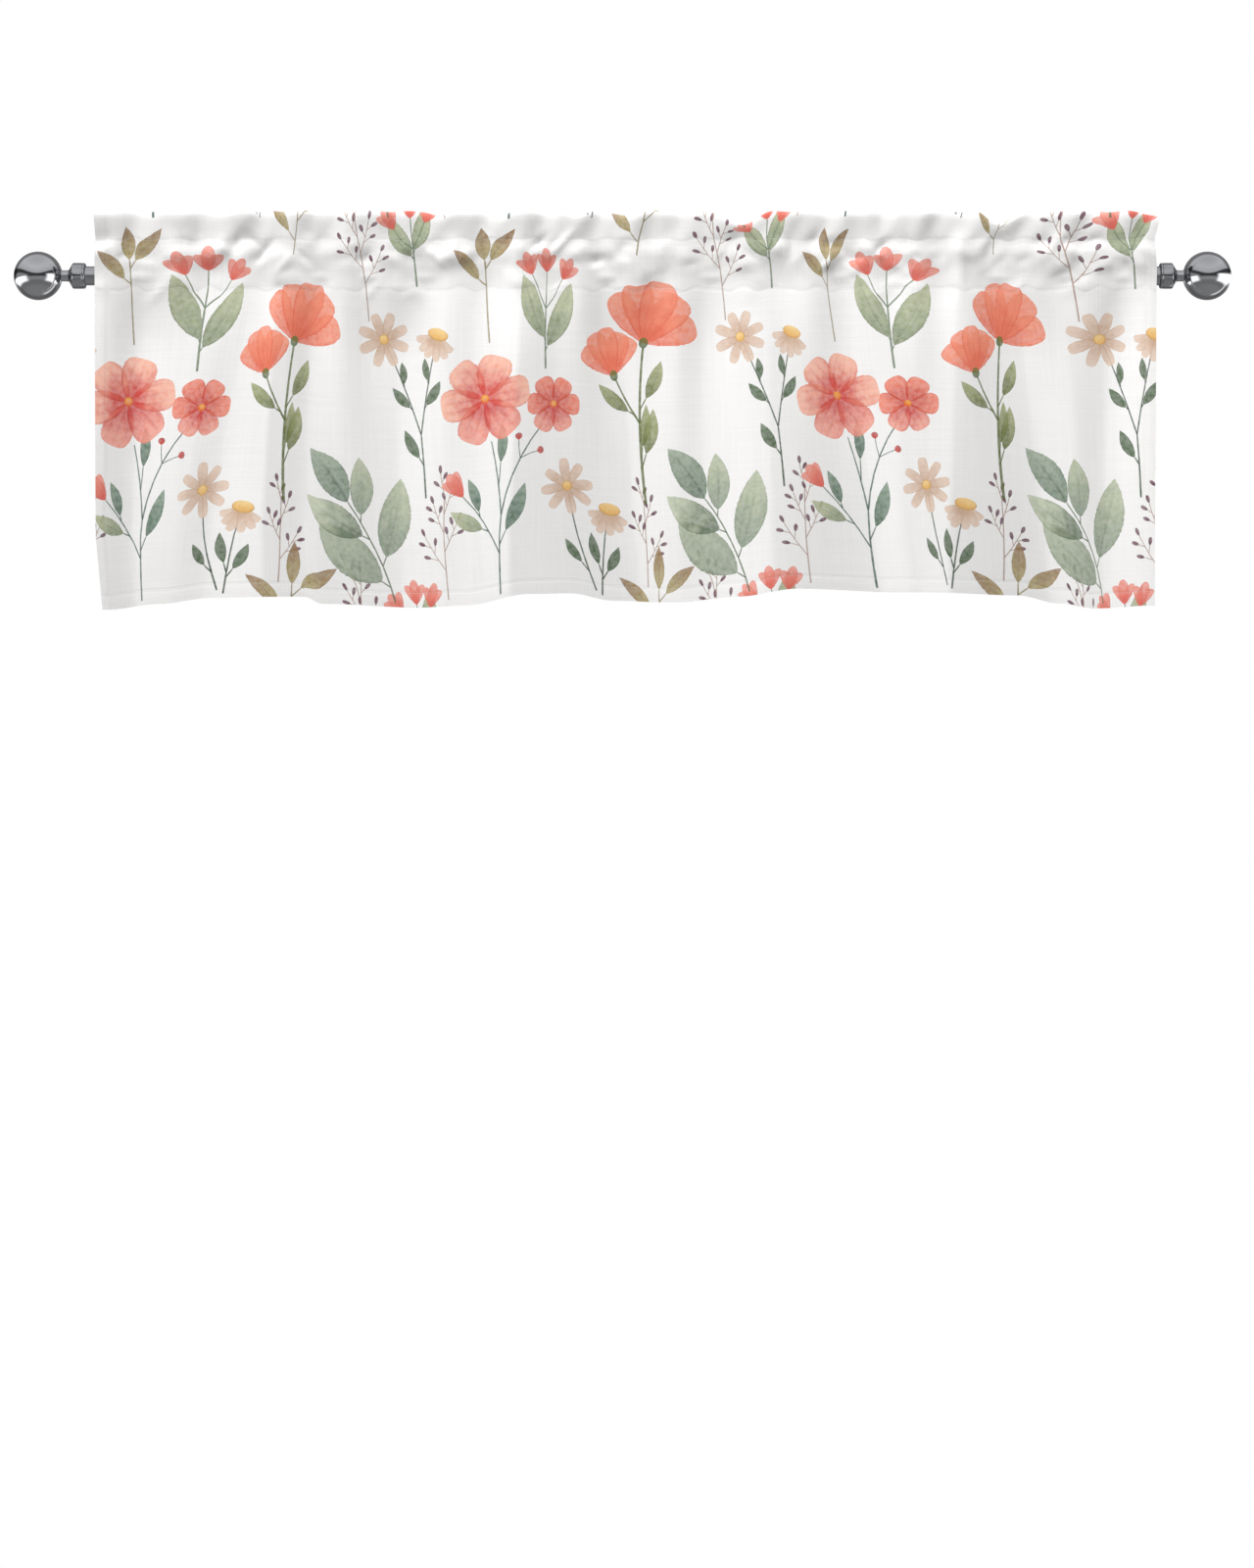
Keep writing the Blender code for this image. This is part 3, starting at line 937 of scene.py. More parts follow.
@dataclass
class ShaderKit:
    """The node groups that the finishes share, each built once; the sizes are in metres."""

    edge_wobble: float = 0.16
    streaks: float = 11.0
    rim_depth: float = 0.34
    pale_half: float = 0.22
    thinnest: float = 0.82
    thickest: float = 0.985
    thread: float = 0.0009
    thread_relief: float = 0.22
    stitch: float = 0.0032
    stitch_share: float = 0.72
    stitch_dimple: float = 0.0035
    groups: dict[str, bpy.types.NodeTree] = field(default_factory=dict)

    @built_once
    def painted_stroke(self) -> bpy.types.NodeTree:
        """A brush stroke over what is under it, from the place that a cell's corners carry."""
        group, w, given, out = new_group(
            "painted_stroke",
            {
                "Under": ("Color", (1, 1, 1, 1)),
                "Place": ("Vector", None),
                "Wobble": ("Float", 0.0),
                "Mottle": ("Float", 0.5),
                "Grain": ("Float", 0.5),
            },
            {"Colour": "Color"},
        )
        along, off, code = w.parts(given.outputs["Place"])
        band = w.math("FLOOR", code)
        seed = w.math("FRACT", code)
        paints = [ink.value for ink in Ink]
        total = len(paints) + 1
        where = w.over(w.plus(band, 0.5), float(total))
        blank = (0.0, 0.0, 0.0, 1.0)
        base = w.bands(where, [blank, *[linear(p.base) for p in paints]]).outputs[0]
        tip = w.bands(where, [blank, *[linear(p.tip) for p in paints]]).outputs[0]
        shapes = [(0.5, 0.5, 0.0, 0.0), *[(p.shape.base, p.shape.tip, p.vein, p.streak) for p in paints]]
        shape = w.bands(where, shapes)
        parts = w.node("ShaderNodeSeparateColor")
        w.feed(parts.inputs[0], shape.outputs[0])
        widen, narrow, vein = parts.outputs
        streak = shape.outputs[1]

        # The stroke's outline, with a wavering edge
        inside = w.math("MINIMUM", w.math("MAXIMUM", along, 0.001), 0.999)
        peak = w.over(widen, w.plus(widen, narrow))
        rise = w.math("POWER", w.over(inside, peak), widen)
        left = w.over(w.minus(1.0, inside), w.minus(1.0, peak))
        reach = w.times(rise, w.math("POWER", left, narrow))
        drift = w.plus(off, w.times(given.outputs["Wobble"], self.edge_wobble))
        near = w.over(w.math("ABSOLUTE", drift), reach)
        mask = w.math("LESS_THAN", near, 1.0)
        for bound in (w.math("GREATER_THAN", along, 0.0), w.math("LESS_THAN", along, 1.0)):
            mask = w.times(mask, bound)
        mask = w.times(mask, w.math("GREATER_THAN", band, 0.5))

        # The wash from base to tip
        wash = w.minus(given.outputs["Mottle"], 0.5)
        blend = w.span(w.plus(along, wash), 0.02, 0.98)
        colour = w.mix(blend, base, tip)
        # Streaks that run out from the base
        wave = w.math("SINE", w.plus(w.times(w.over(drift, reach), self.streaks), w.times(seed, 37.0)))
        lined = w.times(w.span(wave, 0.1, 1.0), w.times(streak, w.span(along, 1.0, 0.15, 0.12, 0.42)))
        colour = w.mix(lined, colour, w.mix(0.62, base, colour, "MULTIPLY"))
        # A leaf's middle rib, the pooled rim and the paler half
        middle = w.span(w.math("ABSOLUTE", drift), 0.02, 0.15, 1.0, 0.0)
        rib = w.times(w.times(middle, vein), w.span(along, 1.0, 0.5, 0.0, 0.8))
        colour = w.mix(rib, colour, w.mix(0.7, colour, base, "MULTIPLY"))
        rim = w.times(w.span(near, 0.78, 1.0), self.rim_depth)
        colour = w.mix(rim, colour, w.mix(0.8, colour, base, "MULTIPLY"))
        half = w.times(w.span(drift, -0.1, 0.1), w.times(vein, self.pale_half))
        colour = w.mix(half, colour, (1.0, 1.0, 1.0, 1.0), "SOFT_LIGHT")
        pooled = w.span(given.outputs["Grain"], 0.35, 0.75, self.thinnest, self.thickest)
        cover = w.times(mask, pooled)
        w.feed(out.inputs["Colour"], w.mix(cover, given.outputs["Under"], colour))
        return group

    @built_once
    def slub_weave(self) -> bpy.types.NodeTree:
        """Plain weave with uneven threads, from a place on the flat cloth in metres."""
        group, w, given, out = new_group(
            "slub_weave",
            {"Flat": ("Vector", None), "Thread": ("Float", self.thread)},
            {"Tint": "Float", "Height": "Float"},
        )
        flat = given.outputs["Flat"]
        turns = [w.over(part, given.outputs["Thread"]) for part in w.parts(flat)[:2]]
        cross = w.times(*[w.math("SINE", w.times(turn, math.tau)) for turn in turns])
        weft = w.noise(w.scaled(flat, (9.0, 620.0, 1.0)), 1.0, 3.0)
        warp = w.noise(w.scaled(flat, (620.0, 9.0, 1.0)), 1.0, 3.0)
        slubs = w.plus(weft, warp)
        w.feed(out.inputs["Tint"], w.span(slubs, 0.72, 1.28, 0.955, 1.0))
        height = w.plus(w.times(cross, self.thread_relief), slubs)
        w.feed(out.inputs["Height"], height)
        return group

    @built_once
    def stitch_row(self) -> bpy.types.NodeTree:
        """A row of machine stitches along a line of the flat cloth."""
        group, w, given, out = new_group(
            "stitch_row",
            {"Across": ("Float", 0.0), "Along": ("Float", 0.0), "Line": ("Float", 0.0)},
            {"Thread": "Float", "Dimple": "Float"},
        )
        gap = w.math("ABSOLUTE", w.minus(given.outputs["Across"], given.outputs["Line"]))
        # The dimple beside the stitches: it sinks the cloth by bump, and the face also darkens the colour
        # there as painted shade
        dimple = w.span(gap, 0.0, self.stitch_dimple, 1.0, 0.0)
        step = w.math("FRACT", w.over(given.outputs["Along"], self.stitch))
        line = w.span(gap, 0.0003, 0.0006, 1.0, 0.0)
        thread = w.times(line, w.math("LESS_THAN", step, self.stitch_share))
        w.feed(out.inputs["Thread"], thread)
        w.feed(out.inputs["Dimple"], dimple)
        return group

    @built_once
    def handled_metal(self) -> bpy.types.NodeTree:
        """Faint smudges and fine dulling of polished metal, from its place."""
        group, w, given, out = new_group(
            "handled_metal",
            {"Place": ("Vector", None), "Roughness": ("Float", 0.1)},
            {"Roughness": "Float", "Tone": "Float"},
        )
        smudge = w.noise(given.outputs["Place"], 34.0, 4.0)
        fine = w.noise(w.scaled(given.outputs["Place"], (1.0, 3.0, 3.0)), 420.0, 2.0)
        dull = w.plus(w.span(smudge, 0.45, 0.72, 0.0, 0.07), w.span(fine, 0.55, 0.8, 0.0, 0.03))
        w.feed(out.inputs["Roughness"], w.plus(given.outputs["Roughness"], dull))
        w.feed(out.inputs["Tone"], w.span(smudge, 0.3, 0.75, 1.0, 0.9))
        return group


def start_material(name: str) -> tuple[bpy.types.Material, Wiring, bpy.types.Node]:
    """Starts a material and returns it with its wiring and its shader."""
    made = bpy.data.materials.new(name)
    made.use_nodes = True
    return made, Wiring(made.node_tree), made.node_tree.nodes["Principled BSDF"]


@dataclass(frozen=True)
class ClothFace:
    """One face of the printed cloth: how strong the print shows on it."""

    name: str
    print_strength: float
    ground: tuple[int, int, int] = (244, 243, 242)
    layers: int = 6
    flat_width: float = 1.321
    seam_rows: tuple[float, ...] = (0.032, 0.098, 0.441)
    side_hem: float = 0.013

    def material(self, kit: ShaderKit) -> bpy.types.Material:
        """Builds the face's material.

        Args:
            kit: The shared node groups.

        Returns:
            The material.
        """
        made, w, shader = start_material(self.name)
        flat = w.node("ShaderNodeUVMap", uv_map="Flat").outputs[0]
        across, down, _ = w.parts(flat)
        weave = w.use(kit.slub_weave(), Flat=flat)
        wobble = w.minus(w.noise(flat, 260.0, 2.0), 0.5)
        mottle = w.noise(flat, 70.0, 3.0)
        grain = w.noise(flat, 190.0, 3.0)
        colour: object = linear(self.ground)
        for layer in range(self.layers):
            place = w.node("ShaderNodeAttribute", attribute_name=f"stroke_{layer}").outputs["Vector"]
            stroke = w.use(
                kit.painted_stroke(), Under=colour, Place=place, Wobble=wobble, Mottle=mottle, Grain=grain
            )
            colour = stroke.outputs["Colour"]
        colour = w.mix(self.print_strength, linear(self.ground), colour)
        colour = w.mix(1.0, colour, weave.outputs["Tint"], "MULTIPLY")
        seams = [(down, across, line) for line in self.seam_rows]
        seams += [(across, down, line) for line in (self.side_hem, self.flat_width - self.side_hem)]
        dimple: object = 0.0
        thread: object = 0.0
        for over, along, line in seams:
            row = w.use(kit.stitch_row(), Across=over, Along=along, Line=line).outputs
            dimple = w.math("MAXIMUM", dimple, row["Dimple"])
            thread = w.math("MAXIMUM", thread, row["Thread"])
        # Painted shade: the cloth's colour is darkened a little in each seam's dimple, where the groove lies
        # in shade
        colour = w.mix(w.times(dimple, 0.10), colour, linear((225, 225, 228)), "MULTIPLY")
        colour = w.mix(w.times(thread, 0.22), colour, linear((246, 246, 246)))
        w.feed(shader.inputs["Base Color"], colour)
        rough = w.span(weave.outputs["Height"], 0.6, 1.4, 0.78, 0.92)
        w.feed(shader.inputs["Roughness"], rough)
        shader.inputs["Sheen Weight"].default_value = 0.12
        shader.inputs["Sheen Roughness"].default_value = 0.5
        shader.inputs["Specular IOR Level"].default_value = 0.25
        height = w.minus(weave.outputs["Height"], w.times(dimple, 1.5))
        height = w.plus(height, w.times(thread, 1.2))
        bump = w.node("ShaderNodeBump")
        bump.inputs["Strength"].default_value = 0.35
        bump.inputs["Distance"].default_value = 0.0004
        w.feed(bump.inputs["Height"], height)
        w.feed(shader.inputs["Normal"], bump.outputs[0])
        return made


@dataclass(frozen=True)
class DarkChrome:
    """Polished dark plating."""

    name: str
    tone: tuple[int, int, int] = (176, 177, 180)
    roughness: float = 0.07

    def material(self, kit: ShaderKit) -> bpy.types.Material:
        """Builds the material.

        Args:
            kit: The shared node groups.

        Returns:
            The material.
        """
        made, w, shader = start_material(self.name)
        place = w.node("ShaderNodeTexCoord").outputs["Object"]
        handled = w.use(kit.handled_metal(), Place=place, Roughness=self.roughness)
        colour = w.mix(1.0, linear(self.tone), handled.outputs["Tone"], "MULTIPLY")
        w.feed(shader.inputs["Base Color"], colour)
        w.feed(shader.inputs["Roughness"], handled.outputs["Roughness"])
        shader.inputs["Metallic"].default_value = 1.0
        return made


# The cloth


class Fold(NamedTuple):
    """A crest or trough of the skirt: its place and how far forward it comes in mm, and how crisp it is."""

    top_x: float
    top_forward: float
    hem_x: float
    hem_forward: float
    crisp: float


class Level(NamedTuple):
    """A height along the cloth, in mm."""

    x: float
    z: float


class Dip(NamedTuple):
    """A dip in the heading's top edge, in mm."""

    x: float
    depth: float
    half_width: float


class SideEdge(NamedTuple):
    """Where the cloth's two side edges are at a height, in mm."""

    z: float
    left: float
    right: float


class Crease(NamedTuple):
    """A soft ridge, or a trough if its rise is negative, in mm."""

    x: float
    z: float
    half_width: float
    half_height: float
    lean: float
    rise: float


@dataclass(frozen=True)
class Puckers:
    """The fine puckers at the two seams, in mm, each range from its least to its greatest value."""

    count: int = 220
    seed: int = 7
    left: float = -606.0
    run: float = 1214.0
    below_upper: tuple[float, float] = (0.0, 38.0)
    below_lower: tuple[float, float] = (-14.0, 8.0)
    half_width: tuple[float, float] = (5.0, 12.0)
    half_height: tuple[float, float] = (6.0, 14.0)
    lean: tuple[float, float] = (-1.0, 1.0)
    rise: tuple[float, float] = (-4.2, 3.6)
    lower_share: float = 0.6

    def draw(self, upper_z: float, lower_z: float) -> list[Crease]:
        """Draws the puckers from left to right, every third one at the lower seam.

        Args:
            upper_z: Height of the upper seam.
            lower_z: Height of the lower seam.

        Returns:
            The puckers.
        """
        chance = np.random.default_rng(self.seed)
        drawn = []
        for number in range(self.count):
            upper = number % 3 != 0
            seam, below = (upper_z, self.below_upper) if upper else (lower_z, self.below_lower)
            z = seam - chance.uniform(*below)
            x = self.left + self.run * (number + chance.uniform(0.0, 1.0)) / self.count
            wide, tall, lean, rise = (
                chance.uniform(*each) for each in (self.half_width, self.half_height, self.lean, self.rise)
            )
            drawn.append(Crease(x, z, wide, tall, lean, rise * (1.0 if upper else self.lower_share)))
        return drawn


class Bend(NamedTuple):
    """A point of the pocket's outline across the rod, in mm: back from the rod's axis, and up."""

    y: float
    z: float


class Zone(Enum):
    """The stretches of the sheet, from its back edge over the top to the hem."""

    ALLOWANCE = "seam allowance behind the lower seam"
    BACK_POCKET = "pocket's back layer"
    BACK_HEADING = "heading's back layer"
    CREST = "fold over the heading's top"
    FRONT_HEADING = "heading's front layer"
    FRONT_POCKET = "pocket's front layer"
    SKIRT = "skirt"


@dataclass(frozen=True)
class ColumnLines:
    """What every row of the sheet shares in each column, in mm."""

    column: np.ndarray
    top_z: np.ndarray
    hem_z: np.ndarray
    sway: np.ndarray
    gather: np.ndarray
    puff: np.ndarray
    wave: np.ndarray
    seam_y: np.ndarray
    carried: np.ndarray


@dataclass
class ValanceCloth:
    """The printed sheet: heading, rod pocket and folded skirt, hung on the rod."""

    kit: ShaderKit
    flat_width: float = 1321.0
    drop: float = 457.0
    column_pitch: float = 3.7
    row_pitch: float = 5.2
    thickness: float = 0.7
    hem_thickness: float = 1.2
    layer_gap: float = 1.05
    pocket_length: float = 66.0
    allowance: float = 10.0
    crest_length: float = 1.2
    heading_top_z: float = 71.6
    upper_seam_z: float = 41.0
    lower_seam_z: float = -15.5
    hem_middle_z: float = -375.0
    hem_band: float = 16.0
    hem_step: float = 1.5
    side_band: float = 13.0
    pocket_puff: float = 1.3
    skirt_start: float = 12.6
    skirt_back: float = 15.5
    pocket_ripple: float = 66.0
    pocket_start: float = 0.4
    heading_sway: float = 3.0
    heading_ripple: float = 79.0
    heading_start: float = 1.9
    heading_lean: float = 5.4
    heading_gather: float = 1.8
    heading_roll: float = 1.8
    roll_depth: float = 8.0
    top_ripple: float = 0.8
    top_length: float = 41.0
    top_start: float = 1.1
    fold_carry: float = 0.35
    gather_ripple: float = 33.0
    gather_start: float = 0.7
    gather_reach: float = 1.4
    ripple_drift: float = 330.0
    ripple_wander: float = 0.9
    skirt_ripple: float = 2.2
    crest_depth: float = 0.42
    trough_depth: float = 0.12
    growth_share: float = 0.23
    arc_height: float = -200.0
    folds: tuple[Fold, ...] = table(
        Fold,  # top_x, top_forward, hem_x, hem_forward, crisp
        (-610, 0, -602, 1, 0.5), (-557, -15, -564, -12, 0.6), (-462, 6, -516, -7, 0.3),
        (-430, 4, -487, -8, 0.4), (-400, 9, -416, 11, 0.95), (-360, -6, -360, -1, 0.4),
        (-328, -3, -321, -7, 0.3), (-262, -15, -253, -16, 0.5), (-203, 3, -197, 1, 0.4),
        (-172, -1, -165, 8, 0.4), (-117, 13, -130, 16, 0.95), (-4, -15, 23, -20, 0.6),
        (62, -2, 73, -9, 0.4), (91, -7, 98, -7, 0.4), (168, 6, 176, 16, 0.5),
        (257, -5, 302, -12, 0.5), (304, 8, 340, 1, 0.4), (386, 6, 378, 9, 0.95),
        (456, -9, 499, -20, 0.6), (510, -1, 540, -12, 0.4), (562, -13, 558, -11, 0.5),
        (617, 1, 616, 2, 0.5),
    )
    hem_line: tuple[Level, ...] = table(
        Level,  # x, z
        (-602, -386), (-538, -379), (-476, -372), (-368, -371), (-348, -379), (-232, -383),
        (-184, -381), (-104, -368), (-60, -367), (-10, -375), (62, -377), (132, -371), (206, -362),
        (343, -366), (459, -369), (508, -378), (547, -384), (616, -381),
    )
    dips: tuple[Dip, ...] = table(
        Dip,  # x, depth, half_width
        (-208, 5, 22), (-144, 5, 22), (-50, 5, 20), (3, 5, 26), (137, 16, 36), (437, 14, 34),
        (628, 8, 40),
    )
    sides: tuple[SideEdge, ...] = table(
        SideEdge,  # z, left, right
        (-386, -602.0, 616), (-300, -609.0, 615), (8, -609.0, 616), (41, -607.5, 613),
        (73, -609.0, 621.5),
    )
    creases: tuple[Crease, ...] = table(
        Crease,  # x, z, half_width, half_height, lean, rise
        (-570, 14, 10, 30, 0.10, -2.6), (-520, 10, 16, 26, -0.12, 2.2),
        (-452, 2, 12, 22, 0.30, -1.8), (-398, 10, 10, 24, -0.20, 2.4),
        (-296, 16, 9, 16, 0.40, -3.0), (-272, 26, 12, 14, -0.50, 2.2),
        (-206, 22, 14, 14, 0.45, 2.6), (-146, 6, 8, 28, 0.10, -1.6), (-124, 0, 10, 44, 0.05, 2.8),
        (-30, 10, 14, 26, -0.15, -2.4), (40, 22, 12, 16, 0.30, 2.0), (96, 8, 9, 24, 0.20, -2.2),
        (150, 18, 13, 20, -0.30, 2.4), (214, 4, 10, 22, 0.20, -1.8), (262, 20, 9, 18, 0.35, -2.4),
        (322, 12, 14, 24, -0.15, 2.2), (390, 6, 9, 34, 0.05, 2.4), (420, 22, 10, 16, 0.30, -2.6),
        (498, 16, 12, 22, -0.30, 2.0), (556, 8, 10, 26, 0.12, -2.4), (598, 14, 9, 22, 0.0, 1.8),
    )
    front_bends: tuple[Bend, ...] = table(
        Bend,  # y, z
        (-19.9, 41.0), (-19.2, 35.5), (-19.35, 30.0), (-19.05, 23.0), (-17.0, 14.0), (-14.8, 5.0),
        (-13.4, -4.0), (-12.8, -12.0), (-12.6, -15.5),
    )
    back_bends: tuple[Bend, ...] = table(
        Bend,  # y, z
        (-18.85, 41.0), (-6.5, 37.0), (4.0, 30.0), (10.5, 21.0), (14.0, 11.0), (14.6, 1.0),
        (12.6, -8.0), (6.0, -14.2), (-3.0, -16.6), (-11.5, -15.9),
    )
    puckers: Puckers = Puckers()
    hollow_z: float = 4.0
    hollow_fade: float = 16.0
    hollow_least: float = 0.15
    rod_clear: float = 13.0
    seam_wave: float = 1.3
    seam_waves: tuple[tuple[float, float, float], ...] = ((47.0, 2.6, 1.0), (27.0, 0.2, 0.7))
    lower_wave: float = 1.7
    wave_fade: float = 14.0

    def ripple(self, x: np.ndarray, length: float, start: float) -> np.ndarray:
        """An uneven wave from -1 to 1 along the rod."""
        wander = self.ripple_wander * np.sin(math.tau * x / self.ripple_drift + start)
        return np.sin(math.tau * x / length + wander + start)

    def down_share(self, z: np.ndarray) -> np.ndarray:
        """How far down the skirt a height is: 0 at the lower seam, 1 at the hem."""
        return np.maximum(0.0, (self.lower_seam_z - z) / (self.lower_seam_z - self.hem_middle_z))

    def cloth_x(self, column: np.ndarray, z: np.ndarray) -> np.ndarray:
        """X of a column at a height, in mm: the fold lines are fitted between the two side edges.

        Args:
            column: Fold number plus the share of the way to the next fold.
            z: Height in mm.

        Returns:
            X in mm.
        """
        down = self.down_share(z)
        numbers = np.arange(len(self.folds))
        top = np.interp(column, numbers, [f.top_x for f in self.folds])
        hem = np.interp(column, numbers, [f.hem_x for f in self.folds])
        first, last = self.folds[0], self.folds[-1]
        left = first.top_x + (first.hem_x - first.top_x) * down
        right = last.top_x + (last.hem_x - last.top_x) * down
        across = (top + (hem - top) * down - left) / (right - left)
        heights = [s.z for s in self.sides]
        low = np.interp(z, heights, [s.left for s in self.sides])
        high = np.interp(z, heights, [s.right for s in self.sides])
        return low + (high - low) * across

    def fold_forward(self, column: np.ndarray, z: np.ndarray) -> np.ndarray:
        """How far forward the folds bring a column at a height, in mm."""
        number = np.clip(np.floor(column).astype(int), 0, len(self.folds) - 2)
        share = column - number
        table = np.array(self.folds, float)
        here, after = table[number], table[number + 1]
        smooth = (1 - np.cos(np.pi * share)) / 2
        crisp = here[..., 4] + (after[..., 4] - here[..., 4]) * share
        soft = share + (1 - crisp) * (smooth - share)
        top = here[..., 1] + (after[..., 1] - here[..., 1]) * soft
        hem = here[..., 3] + (after[..., 3] - here[..., 3]) * soft
        down = self.down_share(z)
        grown = np.sin(np.pi / 2 * np.minimum(1.0, down / self.growth_share))
        forward = top + (hem - top) * down
        crest = np.clip((forward + 5) / 10, 0, 1)
        at_seam = self.trough_depth + (self.crest_depth - self.trough_depth) * crest
        return forward * (at_seam + (1 - at_seam) * grown)

    def skirt_y(self, column: np.ndarray, z: np.ndarray) -> np.ndarray:
        """Depth of the skirt at a column and height, in mm."""
        x = self.cloth_x(column, z)
        fade = np.maximum(0.0, 1 - self.down_share(z)) ** 3
        fine = self.skirt_ripple * self.ripple(x, self.pocket_ripple, self.pocket_start) * fade
        return -self.fold_forward(column, z) - fine

    def heading_top(self, x: np.ndarray) -> np.ndarray:
        """Height of the heading's top edge, in mm."""
        top = self.heading_top_z + self.top_ripple * (self.ripple(x, self.top_length, self.top_start) - 1)
        for dip in self.dips:
            off = np.minimum(1.0, np.abs(x - dip.x) / dip.half_width)
            top -= dip.depth * (1 + np.cos(np.pi * off)) / 2
        return top

    def crease_rise(self, x: np.ndarray, z: np.ndarray) -> np.ndarray:
        """How far the placed creases and the fine puckers at the seams bring the cloth forward, in mm."""
        rise = np.zeros(np.broadcast(x, z).shape)
        for crease in self.creases:
            side = (x - crease.x - crease.lean * (z - crease.z)) / crease.half_width
            rise += crease.rise * np.exp(-(side**2) - ((z - crease.z) / crease.half_height) ** 2)
        for pucker in self.puckers.draw(self.upper_seam_z, self.lower_seam_z):
            side = (x - pucker.x - pucker.lean * (z - pucker.z)) / pucker.half_width
            rise += pucker.rise * np.exp(-(np.abs(side) ** 1.5) - ((z - pucker.z) / pucker.half_height) ** 2)
        shallow = np.clip((z - self.hollow_z) / self.hollow_fade, self.hollow_least, 1)
        return np.where(rise < 0, rise * shallow, rise)

    def around(self, bends: tuple[Bend, ...], share: float) -> tuple[float, float]:
        """A place on one layer of the pocket.

        Args:
            bends: The layer's outline, from the upper seam to the lower one.
            share: How far along the outline, from 0 to 1.

        Returns:
            The place's y and z in mm.
        """
        y, z = [b.y for b in bends], [b.z for b in bends]
        chords = [0.0, *np.cumsum(np.hypot(np.diff(y), np.diff(z)))]
        fine = np.linspace(0, chords[-1], 200)
        smooth_y, smooth_z = through(fine, chords, y), through(fine, chords, z)
        arc = np.concatenate([[0], np.cumsum(np.hypot(np.diff(smooth_y), np.diff(smooth_z)))])
        here = share * arc[-1]
        return float(np.interp(here, arc, smooth_y)), float(np.interp(here, arc, smooth_z))

    def row_plan(self) -> list[tuple[Zone, float, float]]:
        """Every row of the sheet: its zone, its share of the zone, and its place down the cloth in mm."""
        heading = self.heading_top_z - self.upper_seam_z
        pocket, skirt = self.pocket_length, self.drop - heading - self.pocket_length
        steps = round(skirt / self.row_pitch)
        zones = (
            (Zone.ALLOWANCE, (0.0, 0.6), -heading - pocket - self.allowance, self.allowance),
            (Zone.BACK_POCKET, [n / 15 for n in range(15)], -heading - pocket, pocket),
            (Zone.BACK_HEADING, [n / 6 for n in range(6)], -heading, heading),
            (Zone.CREST, (0.1, 0.5, 0.9), -self.crest_length / 2, self.crest_length),
            (Zone.FRONT_HEADING, [n / 9 for n in range(1, 10)], 0.0, heading),
            (Zone.FRONT_POCKET, [n / 20 for n in range(1, 20)], heading, pocket),
            (Zone.SKIRT, [n / steps for n in range(steps + 1)], heading + pocket, skirt),
        )
        return [(zone, share, start + run * share) for zone, shares, start, run in zones for share in shares]

    def columns(self) -> tuple[np.ndarray, np.ndarray]:
        """The grid's columns, evenly spaced along the cloth itself.

        Returns:
            Each column's fold number and share, and its place across the flat cloth in mm.
        """
        fine = np.linspace(0, len(self.folds) - 1, 6001)
        level = np.full(fine.shape, self.arc_height)
        x, y = self.cloth_x(fine, level), self.skirt_y(fine, level)
        arc = np.concatenate([[0], np.cumsum(np.hypot(np.diff(x), np.diff(y)))])
        LOG.info("cloth is %.0f mm along its folds over a width of %.0f mm", arc[-1], x[-1] - x[0])
        count = round(self.flat_width / self.column_pitch)
        even = np.linspace(0, arc[-1], count + 1)
        return np.interp(even, arc, fine), np.linspace(0, self.flat_width, count + 1)

    def lines(self, column: np.ndarray) -> ColumnLines:
        """Works out what every row of a column shares.

        Args:
            column: The grid's columns.

        Returns:
            Their heights, waves and depths.
        """
        levels = (self.heading_top_z, 0.0, self.hem_middle_z)
        top_x, seam_x, hem_x = (self.cloth_x(column, np.full(column.shape, z)) for z in levels)
        seam_y = self.skirt_y(column, np.full(column.shape, self.lower_seam_z))
        wave = sum(share * self.ripple(seam_x, length, start) for length, start, share in self.seam_waves)
        return ColumnLines(
            column=column,
            top_z=self.heading_top(top_x),
            hem_z=eased(hem_x, [p.x for p in self.hem_line], [p.z for p in self.hem_line]),
            sway=self.heading_sway * self.ripple(top_x, self.heading_ripple, self.heading_start),
            gather=self.heading_gather * self.ripple(top_x, self.gather_ripple, self.gather_start),
            puff=self.pocket_puff * (1 + self.ripple(seam_x, self.pocket_ripple, self.pocket_start)) / 2,
            wave=self.seam_wave * wave,
            seam_y=seam_y,
            carried=self.fold_carry * seam_y,
        )

    def rod_reach(self, z: np.ndarray) -> np.ndarray:
        """How far the rod and its clearance reach from the axis at a height, in mm."""
        return np.sqrt(np.maximum(0.0, self.rod_clear**2 - z**2))

    def heading_row(self, at: ColumnLines, zone: Zone, share: float) -> tuple[np.ndarray, np.ndarray]:
        """Depth and height of a row of the heading, on either layer or over its top."""
        gap = self.layer_gap / 2
        upward = {Zone.BACK_HEADING: share, Zone.FRONT_HEADING: 1 - share}.get(zone, 1.0)
        side = {Zone.BACK_HEADING: 1.0, Zone.FRONT_HEADING: -1.0}.get(zone, math.cos(math.pi * share))
        over = gap * math.sin(math.pi * share) if zone is Zone.CREST else 0.0
        z = self.upper_seam_z + at.wave * (1 - upward) + (at.top_z - self.upper_seam_z) * upward + over
        roll = np.clip((z - at.top_z + self.roll_depth) / self.roll_depth, 0, 1) ** 2
        y = (at.sway - self.heading_lean + at.gather * (self.gather_reach - upward)) * upward + side * gap
        y = y + self.front_bends[0].y + gap + at.carried + self.heading_roll * roll
        return y - self.crease_rise(self.cloth_x(at.column, z), z), z

